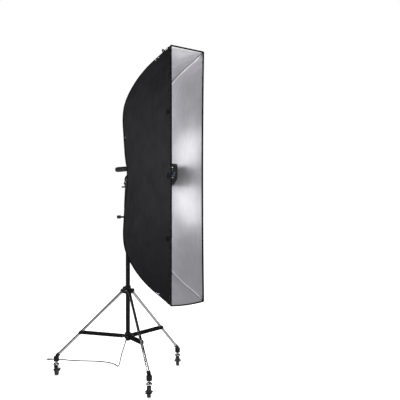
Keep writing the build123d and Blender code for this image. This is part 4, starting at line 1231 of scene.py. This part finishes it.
# White paper sweep: lit by itself, more so away from the object, where it runs into the backdrop
paper = {"Roughness": 0.9, "Specular IOR Level": 0.05, "Emission Color": (1, 1, 1, 1)}
sweep = Surface("floor", paper)
sweep.colour(sweep.noise(1.5), grey(0.80, 0.005), grey(0.83, 0))
from_middle = sweep.node("VectorMath", {0: sweep.coords}, operation="LENGTH")
glow = sweep.spread(from_middle.outputs["Value"], 0.62, 1.0, 0.9, 2.6)
sweep.tree.links.new(glow, sweep.shader.inputs["Emission Strength"])
FLOOR_HALF = 40.0
FLOOR_Z = -0.0005
quarters = ((-1, -1), (1, -1), (1, 1), (-1, 1))
floor_corners = [(x * FLOOR_HALF, y * FLOOR_HALF, FLOOR_Z) for x, y in quarters]
floor_mesh = bpy.data.meshes.new("floor")
floor_mesh.from_pydata(floor_corners, [], [(0, 1, 2, 3)])
floor_mesh.materials.append(sweep.material)
floor = bpy.data.objects.new("floor", floor_mesh)
scene.collection.objects.link(floor)


def area_light(name, place, aim, size, power):
    """A lamp of so many watts, which the camera doesn't see."""
    data = bpy.data.lights.new(name, "AREA")
    data.shape = "RECTANGLE"
    data.size, data.size_y = size
    data.energy = power
    light = bpy.data.objects.new(name, data)
    light.location = place
    light.rotation_euler = (Vector(aim) - Vector(place)).to_track_quat("-Z", "Y").to_euler()
    light.visible_camera = False
    scene.collection.objects.link(light)
    return light


BOX_MIDDLE = (0, -0.3, 1.5)
KEY_WATTS = 34  # the key skims the left panel, near it
FILL_WATTS = 84
OVERHEAD_WATTS = 150
BACK_WATTS = 40
GLOW_WATTS = 0.31
GLOW_RISE = 0.21
area_light("key", (-1.05, -0.40, 1.57), (-0.16, -0.36, 1.55), (0.4, 0.4), KEY_WATTS)
area_light("front_fill", (-0.3, -3.4, 1.7), BOX_MIDDLE, (1.6, 2.6), FILL_WATTS)
overhead = area_light("overhead", (0, -0.2, 4.6), (0, 0, 0), (4.5, 4.5), OVERHEAD_WATTS)
overhead.visible_glossy = False
area_light("back", (2.2, 3.6, 2.6), (0, 0, 1.0), (2.2, 2.2), BACK_WATTS)

# Light that the lining throws back on itself, above and below the flash head
for share in (-1, 1):
    place = (-0.105, -0.33, AXIS_Z + share * GLOW_RISE)
    area_light("lining_glow", place, (0.2, -0.33, place[2]), (0.24, 0.30), GLOW_WATTS)

# White to the camera, a dim cool grey to everything else and dimmer still in reflections
world = bpy.data.worlds.new("studio")
world.use_nodes = True
scene.world = world
world_nodes = world.node_tree.nodes
ROOM = (0.93, 0.94, 1.0, 1)
room, reflected, backdrop = (
    world_nodes["Background"],
    world_nodes.new("ShaderNodeBackground"),
    world_nodes.new("ShaderNodeBackground"),
)
for background, colour, strength in (
    (room, ROOM, 0.13),
    (reflected, ROOM, 0.03),
    (backdrop, (1, 1, 1, 1), 1.0),
):
    background.inputs["Color"].default_value = colour
    background.inputs["Strength"].default_value = strength
ray = world_nodes.new("ShaderNodeLightPath")
seen = room.outputs["Background"]
for test, other in (("Is Glossy Ray", reflected), ("Is Camera Ray", backdrop)):
    choose = world_nodes.new("ShaderNodeMixShader")
    world.node_tree.links.new(ray.outputs[test], choose.inputs["Fac"])
    world.node_tree.links.new(seen, choose.inputs[1])
    world.node_tree.links.new(other.outputs["Background"], choose.inputs[2])
    seen = choose.outputs["Shader"]
world.node_tree.links.new(seen, world_nodes["World Output"].inputs["Surface"])

scene.view_settings.view_transform = "Standard"
